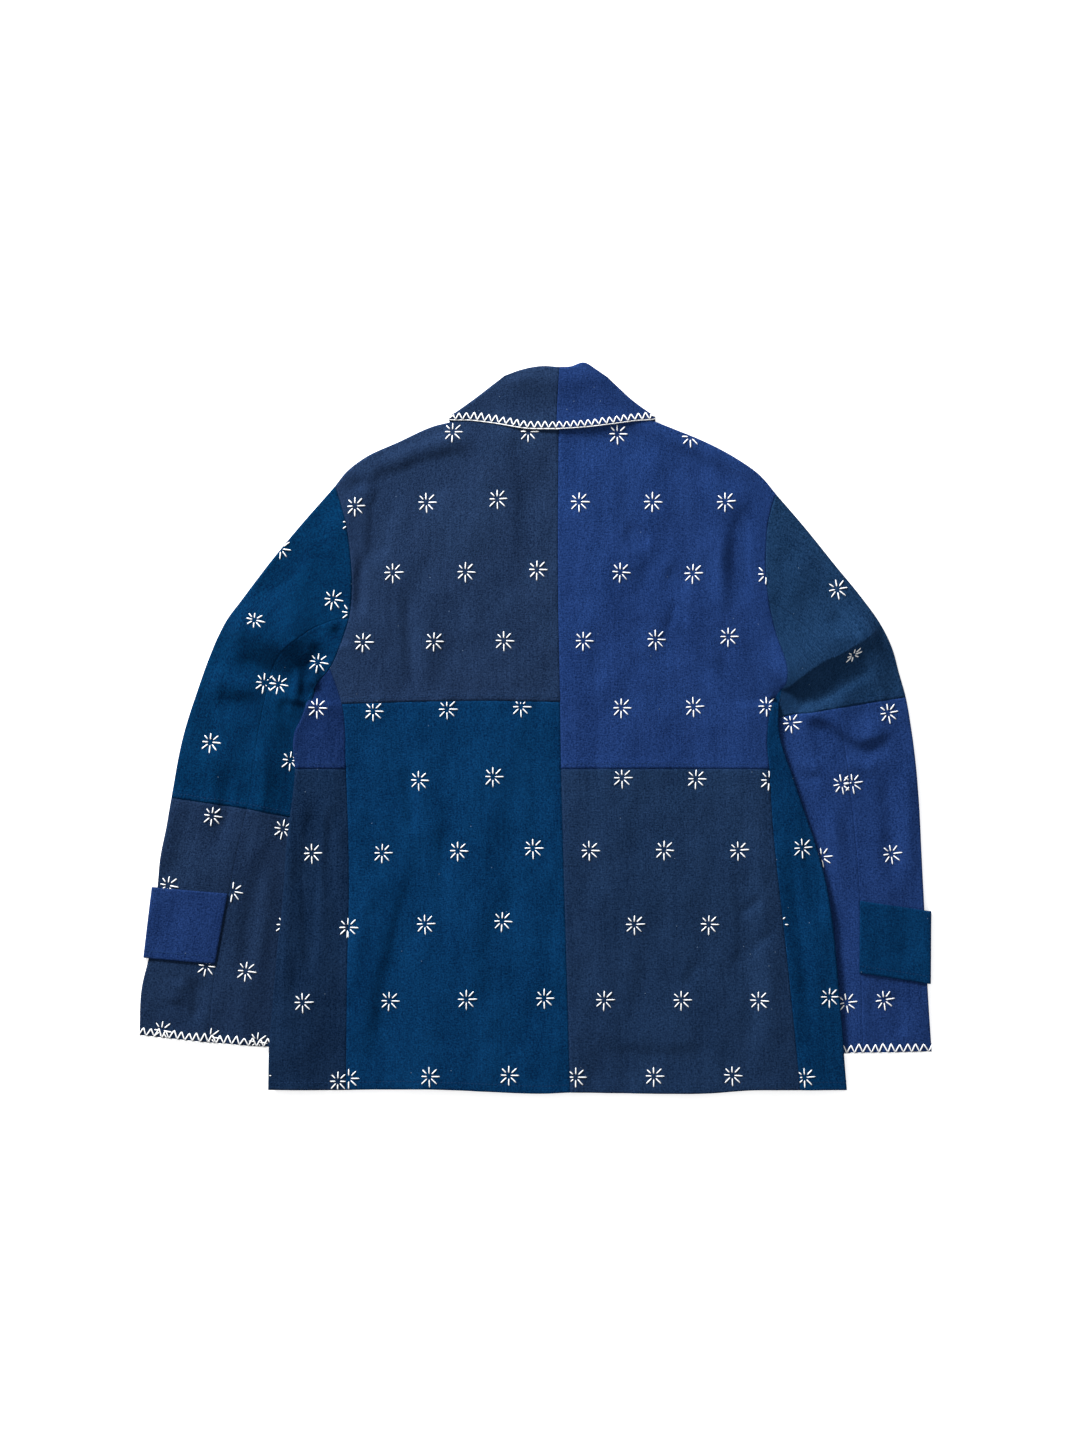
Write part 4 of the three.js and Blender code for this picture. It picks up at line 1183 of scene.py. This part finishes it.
# The blanket stitch: the distance between its feet, its depth, its thread and how uneven it is
COLLAR_EDGING = {"pitch": 7.2, "depth": 9.0, "thread": 0.6, "uneven": 0.25}
CUFF_EDGING = {"pitch": 8, "depth": 9.5, "thread": 0.66, "uneven": 0.7}

SURFACES = {}
COLOUR_OF = {}
LIES_ON = {}


def add(name, points, colour, lies_on, faces_down=False):
    SURFACES[name] = Surface(name, points, faces_down)
    COLOUR_OF[name] = colour
    LIES_ON[name] = lies_on


# The hem across the back, from its middle to the side seam
HEM_DIPS = {
    "left": ((10, -2.4), (-20, -3.6), (-60, -2.2), (-100, -0.3), (-150, 1), (-214, 0)),
    "right": ((10, -2.4), (60, -3.2), (110, -3.8), (155, -3), (185, -0.6), (240, 0)),
}
# Where the seams across the back bow up between their ends
PATCH_BOWS = {"left": ((-75, 389.2), (-145, 388.2)), "right": ((70, 321.2), (140, 321.2))}


def back_panels(side, name, lower_colour, upper_colour):
    seam, key = side.seam, side.seam_back_patch
    lower_side = Chain((seam, 0, key))
    upper_side = Chain((seam, key, side.seam_top), (side.armhole, side.arm_seam, side.arm_top))
    hem = Chain((Curve(*HEM_DIPS[name]), 0, 5))
    middle = Chain((Curve(CENTRE_BACK.keys[side.back_patch], *PATCH_BOWS[name], seam.keys[key]), 0, 3))
    top = Chain((side.neck, 0, 2), (side.shoulder, 0, 6))
    u = fractions(hem.total())
    v = fractions(lower_side.total())
    lower = patch(hem, middle, Chain((CENTRE_BACK, 0, side.back_patch)), lower_side, u, v)
    edges = {"near": "hem", "far": "seam", "start": "seam", "end": "seam"}
    add(f"back_lower_{name}", seamed(lifted(lower, body_over), lower, edges), lower_colour, f"front_{name}")
    v = fractions(upper_side.total(), last=False)
    upper = patch(middle, top, Chain((CENTRE_BACK, side.back_patch, 7)), upper_side, u, v)
    neck_share = side.neck.length(0, 2) / top.total()
    ways = outward(side.shoulder, 0, 6, np.clip((u - neck_share) / (1 - neck_share), 0, 1), -side.sign,
                   end_way=side.shoulder_way)
    ways = lerp(np.array([[0.0, 1.0]]), ways, smooth(neck_share - 0.02, neck_share + 0.04, u)[:, None])
    points = over_shoulder(upper, ways, 1, body_over, body_under,
                           {"near": "stitched", "start": "seam", "end": "seam"},
                           smooth(neck_share - 0.02, neck_share + 0.04, u))
    add(f"back_upper_{name}", points, upper_colour, f"front_{name}")


def side_panel(side, name, colour, seam_keys, side_keys, lies_on, edges):
    across = straight(side.seam.keys[seam_keys[0]], side.side.keys[side_keys[0]])
    at_top = seam_keys[1] == side.seam_top
    far = Chain((side.armhole, side.arm_seam, 0)) if at_top else \
        straight(side.seam.keys[seam_keys[1]], side.side.keys[side_keys[1]])
    start, end = Chain((side.seam, *seam_keys)), Chain((side.side, *side_keys))
    u = fractions(max(across.total(), far.total()), last=False)
    v = fractions(max(start.total(), end.total()))
    plan = patch(across, far, start, end, u, v)
    ways = outward(side.side, *side_keys, v, side.sign, end_way=side.underarm_way if at_top else None)
    add(name, over_fold(plan, ways, body_over, body_under, edges), colour, lies_on)


def front_panel(side, name, colour):
    sides = Chain((side.seam, 0, side.seam_top), (side.armhole, side.arm_seam, side.arm_top))
    centre = Chain((CENTRE_FRONT, 0, 2), (side.throat, 0, 4))
    hem = straight(CENTRE_FRONT.keys[0], side.seam.keys[0])
    top = Chain((side.shoulder, 0, 6))
    u = fractions(hem.total(), UNDER_CELL / 2)
    v = fractions(sides.total(), UNDER_CELL / 2, last=False)
    plan = patch(hem, top, centre, sides, u, v)
    ways = outward(side.shoulder, 0, 6, u, -side.sign, end_way=side.shoulder_way)
    edges = {"near": "hem", "start": "free", "end": "seam"}
    points = over_shoulder(plan, ways, -1, body_over, body_under, edges)
    add(f"front_{name}", points, colour, f"collar_{name}", faces_down=True)


def sleeve(side, name, upper_colour, lower_colour):
    over, under = sleeve_over(side), sleeve_under(side)
    halves = (
        ("outer", side.outer, side.sleeve_patch, side.cuff, side.arm_top, -side.sign, side.shoulder_way),
        ("inner", side.inner, side.inner_patch, side.inner_cuff, 0, side.sign, side.underarm_way),
    )
    seam = side.sleeve_seam
    for label, fold, fold_patch, fold_cuff, arm_end, sign, start_way in halves:
        arm = Chain((side.armhole, side.arm_sleeve, arm_end))
        middle = straight(seam.keys[side.sleeve_patch], fold.keys[fold_patch])
        cuff = straight(seam.keys[side.cuff], fold.keys[fold_cuff])
        u = fractions(max(arm.total(), middle.total()), last=False)
        parts = (
            ("upper", upper_colour, arm, middle, "stitched", (0, side.sleeve_patch), (0, fold_patch),
             start_way),
            ("lower", lower_colour, middle, cuff, "free", (side.sleeve_patch, side.cuff),
             (fold_patch, fold_cuff), None),
        )
        for part, colour, near, far, far_edge, seam_keys, fold_keys, way in parts:
            start, end = Chain((seam, *seam_keys)), Chain((fold, *fold_keys))
            v = fractions(max(start.total(), end.total()))
            ways = outward(fold, *fold_keys, v, sign, start_way=way)
            points = over_fold(patch(near, far, start, end, u, v), ways, over, under,
                               {"near": "seam", "far": far_edge, "start": "line"})
            add(f"sleeve_{name}_{label}_{part}", points, colour, "floor")


TAB_RISE = 2.3
TAB_CELL = 2.4
TAB_GAP = 0.3           # from the surface to the cloth of the tab that is underneath


def cuff_tab(side, name, colour):
    top_inner, top_outer, low_inner, low_outer = (np.array(p, float) for p in side.tab)
    u = fractions(75, TAB_CELL, last=False)
    v = fractions(70, TAB_CELL)
    outer = Curve(top_outer, low_outer)
    plan = patch(straight(top_inner, top_outer), straight(low_inner, low_outer),
                 straight(top_inner, low_inner), Chain((outer, 0, 1)), u, v)
    sleeve_top = sleeve_over(side)

    def over(x, y):
        z, shift = sleeve_top(x, y)
        return z + TAB_RISE, shift

    ways = outward(outer, 0, 1, v, -side.sign)
    points = over_fold(plan, ways, over, level(TAB_GAP), {"near": "free", "far": "free", "start": "free"})
    add(f"cuff_tab_{name}", points, colour, f"sleeve_{name}_outer_lower")


COLLAR_CELL = 2.2
COLLAR_RISE = 1.5
STAND_TOP = 4.2
NECK_Y = 684            # the body's height is taken from here for what lies past the neck
ROLL_REACH = 4.5        # how far the roll at the collar's top stands out in plan
ROLL_LENGTH = 34        # over which it comes to that from the corner
CORNER_REACH = 0.4      # how far the corner stands out
CORNER_SHARE = 0.15     # the share of its reach that the fold has at the corner
CORNER_LENGTH = 26
PULL_LENGTH = 22        # the cloth over which a reach is drawn from
LAPEL_LENGTH = 30
ROLL_FULLNESS, ROLL_MIDDLE, ROLL_HALF = 2.6, 10, 12
# How far the collar's edge stands off the back, over what depth, and that stretch's middle and half width
EDGE_LIFT, EDGE_DEPTH, EDGE_MIDDLE, EDGE_HALF = 2.4, 18, 14, 80


def collar(side, name, colour):
    roll, edge, fold = whole(side.collar_roll), whole(side.collar_edge), whole(side.collar_fold)
    u = fractions(roll.total() * 1.35, COLLAR_CELL, last=False)
    v = fractions(fold.total(), COLLAR_CELL, first=False)
    plan = patch(roll, edge, straight(roll.run([0])[0], edge.run([0])[0]), fold, u, v)
    ways = outward(side.collar_fold, 0, len(side.collar_fold.keys) - 1, v, -side.sign)
    ways = ways * lerp(CORNER_SHARE, 1, smooth(0, CORNER_LENGTH, v * fold.total()))[:, None]
    last = len(side.collar_roll.keys) - 1
    roll_ways = outward(side.collar_roll, 0, last, u, -side.sign, start_way=(0, 1))
    from_corner = (1 - u) * roll.total()
    roll_reach = roll_ways * lerp(CORNER_REACH, ROLL_REACH, smooth(0, ROLL_LENGTH, from_corner))[:, None]
    plan = pulled(plan, plan[:1], roll_reach, PULL_LENGTH)
    lapel_roll, lapel_edge = whole(side.lapel_roll), whole(side.lapel_edge)
    down = fractions(lapel_edge.total(), UNDER_CELL / 2, first=False, last=False)
    bottom_end = straight(side.lapel_roll.keys[-1], side.lapel_edge.keys[-1])
    lapel = patch(lapel_roll, lapel_edge, fold, bottom_end, down, v)
    lapel_ways = outward(side.lapel_roll, 0, len(side.lapel_roll.keys) - 1, down, -side.sign)
    lapel_ways = lerp(roll_ways[-1:], lapel_ways, smooth(0, 0.12, down)[:, None])
    lapel_share = smooth(0, LAPEL_LENGTH, down * lapel_roll.total())
    lapel_reach = lapel_ways * lerp(CORNER_REACH, FOLD_REACH, lapel_share)[:, None]
    lapel = pulled(lapel, lapel[:1], lapel_reach, PULL_LENGTH)
    lapel = drawn_in(lapel[:, ::-1], ways)[:, ::-1]

    def over(x, y):
        z, shift = body_over(x, np.minimum(y, NECK_Y))
        return z + COLLAR_RISE, shift

    points = over_fold(plan, ways, over, level(FLOOR_GAP), {"far": "free", "start": "seam"}, lapel)
    top = plan.shape[1]
    distance = edge_distances(plan)
    full = dip(ROLL_FULLNESS, distance["near"] - ROLL_MIDDLE, ROLL_HALF)
    full = full * smooth(0, ROLL_LENGTH, distance["end"])
    middle = np.clip(1 - ((plan[..., 0] - EDGE_MIDDLE) / EDGE_HALF) ** 2, 0, 1)
    lifted_edge = EDGE_LIFT * (1 - smooth(0, EDGE_DEPTH, distance["far"])) * middle
    points[:, :top, 2] += full + lifted_edge
    count = points.shape[1]
    low = np.interp(np.arange(count), [0, top - 1, count - len(down), count - 1],
                    [STAND_TOP, STAND_TOP, LAYER_LIFT + FLOOR_GAP, LAYER_LIFT + FLOOR_GAP])
    turn = count - len(down) - top
    reach = np.concatenate([roll_reach, np.repeat(roll_reach[-1:], turn, axis=0), lapel_reach])
    inside = points[0].copy()
    inside[:, 2] = low
    thick = smooth(0, 1.5, np.abs(points[0][:, 2] - low))[:, None]
    rows = bulged(points[0], inside, reach * thick, np.radians(np.linspace(-90, 90, 11)[:-1]))
    points = np.concatenate([*(r[None] for r in rows), points], axis=0)
    add(f"collar_{name}", points, colour, [f"back_upper_{name}", "collar_stand"])


def collar_stand(colour):
    bottom = Chain((left.neck, 2, 0), (right.neck, 0, 2))
    top = Curve((-52, 707), (-20, 716), (0, 716), (22, 718), (45, 707))
    u, v = fractions(bottom.total(), first=False, last=False), fractions(24, first=False, last=False)
    plan = patch(bottom, Chain((top, 0, 4)), straight(bottom.run([0])[0], top.keys[0]),
                 straight(bottom.run([1])[0], top.keys[-1]), u, v)
    start, _ = body_over(plan[..., 0], np.minimum(plan[..., 1], NECK_Y))
    z = lerp(start - CLOTH - 0.3, STAND_TOP, smooth(0, 1, v)[:, None])
    add("collar_stand", np.concatenate([plan, z[..., None]], axis=-1), colour, "front_left")


left.shoulder_way, left.underarm_way = (-0.765, 0.645), (-0.57, -0.82)
right.shoulder_way, right.underarm_way = (0.76, 0.65), (0.15, -0.99)

back_panels(left, "left", "teal", "navy")
back_panels(right, "right", "navy", "royal")
side_panel(left, "side_left_lower", "navy", (0, left.seam_side_patch), (0, left.side_patch),
           "sleeve_left_inner_lower", {"near": "hem", "far": "seam", "start": "seam"})
side_panel(left, "side_left_upper", "royal", (left.seam_side_patch, left.seam_top),
           (left.side_patch, left.underarm), "sleeve_left_inner_upper",
           {"near": "stitched", "far": "seam", "start": "seam"})
side_panel(right, "side_right", "teal", (0, right.seam_top), (0, right.underarm),
           "sleeve_right_inner_lower", {"near": "hem", "far": "seam", "start": "seam"})
front_panel(left, "left", "royal")
front_panel(right, "right", "navy")
sleeve(left, "left", "teal", "navy")
sleeve(right, "right", "petrol", "royal")
cuff_tab(left, "left", "royal")
cuff_tab(right, "right", "teal")
collar(left, "left", "navy")
collar(right, "right", "royal")
collar_stand("navy")


def hidden_places(surface, random):
    """A staggered row of stars over the underside of a piece, where nothing lies over it."""
    low, high = surface.points.min(axis=(0, 1)), surface.points.max(axis=(0, 1))
    step_x, step_y = HIDDEN_PITCH
    for y in np.arange(math.ceil(low[1] / step_y), high[1] / step_y) * step_y:
        stagger = (round(y / step_y) % 2) / 2
        across = np.arange(math.ceil(low[0] / step_x) - 1, high[0] / step_x + 1)
        for x in (across + stagger) * step_x:
            x, here = x + random.uniform(-2, 2), y + random.uniform(-2, 2)
            met = surface.meets(x, here, below=True)
            if met is None:
                continue
            others = [o.meets(x, here, below=True) for o in SURFACES.values() if o is not surface]
            if all(o is None or o[0][2] > met[0][2] for o in others):
                yield x, here


def has_underside(name):
    return name.startswith(("front", "side", "sleeve"))


def stitched(name):
    """The white embroidery and the blue topstitching on one piece."""
    surface = SURFACES[name]
    random = np.random.default_rng(SEED + sum(map(ord, name)))
    white, blue = Stitches(surface), Stitches(surface)
    for x, y, *more in STAR_ROWS.get(name, ()):
        step_x, step_y, count = more or (0, 0, 1)
        for k in range(count):
            turn = SLEEVE_TURN * np.sign(x) if name.startswith("sleeve") else 0
            star(white, x + k * step_x, y + k * step_y, turn + random.uniform(-2, 2), random)
    if has_underside(name):
        for x, y in hidden_places(surface, random):
            star(white, x, y, random.uniform(-2, 2), random, below=True)
    if name in ("collar_left", "collar_right"):
        edge_stitches(white, "far", random, **COLLAR_EDGING)
    if name.startswith("sleeve") and name.endswith("lower"):
        edge_stitches(white, "far", random, **CUFF_EDGING)
    if name.startswith("back_upper") or name == "side_left_upper":
        topstitches(blue, "near", ALLOWANCE_ROW)
    if name.startswith(("back_lower", "side_left_lower", "side_right", "front")):
        topstitches(blue, "near", HEM_ROW)
    if name.startswith("sleeve") and name.endswith("upper"):
        topstitches(blue, "far", ALLOWANCE_ROW)
    if name.startswith("cuff_tab"):
        topstitches(blue, "far", TAB_ROW)
    made = (white.made(f"{name}_embroidery", WHITE_THREAD), blue.made(f"{name}_topstitches", BLUE_THREAD))
    return [m for m in made if m]


FLOOR_HALF = 25         # metres
PAPER, PAPER_GLOW = 0.93, 0.55
SKY_STRENGTH = 0.6
LAMP_SIZE, LAMP_WATTS = (1.1, 0.7), 270
LAMP_PLACE, LAMP_AIM = (-1.8, 2.5, 1.4), (0, 0.05, 0)


def make_floor():
    mesh = bpy.data.meshes.new("floor")
    corners = [(x * FLOOR_HALF, y * FLOOR_HALF, 0) for x, y in ((-1, -1), (1, -1), (1, 1), (-1, 1))]
    mesh.from_pydata(corners, [], [(0, 1, 2, 3)])
    floor = bpy.data.objects.new("floor", mesh)
    bpy.context.scene.collection.objects.link(floor)
    material = bpy.data.materials.new("paper")
    material.use_nodes = True
    shader = material.node_tree.nodes["Principled BSDF"]
    shader.inputs["Base Color"].default_value = (PAPER, PAPER, PAPER, 1)
    shader.inputs["Roughness"].default_value = 0.95
    shader.inputs["Specular IOR Level"].default_value = 0.1
    shader.inputs["Emission Color"].default_value = (1, 1, 1, 1)
    shader.inputs["Emission Strength"].default_value = PAPER_GLOW
    mesh.materials.append(material)
    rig.stage(floor)


def make_light():
    world = bpy.context.scene.world or bpy.data.worlds.new("studio")
    bpy.context.scene.world = world
    world.use_nodes = True
    background = world.node_tree.nodes["Background"]
    background.inputs["Color"].default_value = (1, 1, 1, 1)
    background.inputs["Strength"].default_value = SKY_STRENGTH
    data = bpy.data.lights.new("softbox", "AREA")
    data.shape = "RECTANGLE"
    data.size, data.size_y = LAMP_SIZE
    data.energy = LAMP_WATTS
    lamp = bpy.data.objects.new("softbox", data)
    lamp.location = LAMP_PLACE
    lamp.rotation_euler = (Vector(LAMP_AIM) - lamp.location).to_track_quat("-Z", "Y").to_euler()
    bpy.context.scene.collection.objects.link(lamp)


CAMERA_HEIGHT = 3.405          # metres
CAMERA_OVER = (-20, 370)       # the place in the plan that the camera is over
CAMERA_LENS, CAMERA_SENSOR = 85, 36


def make_camera():
    data = bpy.data.cameras.new("camera")
    data.lens, data.sensor_width = CAMERA_LENS, CAMERA_SENSOR
    data.clip_start, data.clip_end = 0.1, 50
    camera = bpy.data.objects.new("camera", data)
    camera.location = ((CAMERA_OVER[0] + ORIGIN[0]) * MM, (CAMERA_OVER[1] + ORIGIN[1]) * MM, CAMERA_HEIGHT)
    bpy.context.scene.collection.objects.link(camera)
    bpy.context.scene.camera = camera


make_camera()
make_floor()
make_light()
bpy.context.scene.view_settings.view_transform = "Standard"

for name, surface in SURFACES.items():
    piece = cloth_object(surface, COLOUR_OF[name], TAB_CLOTH if name.startswith("cuff_tab") else CLOTH)
    width, length, area = surface.cut()
    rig.sheet(piece, flat=(width, length), held="laid", rests_on=LIES_ON[name], area=area,
             with_pieces=stitched(name))

VISUAL_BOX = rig.bounds()
with open("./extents.json", "w") as file:
    json.dump({"cad": [list(corner) for corner in CAD_BOX],
               "visual": [list(corner) for corner in VISUAL_BOX]}, file)
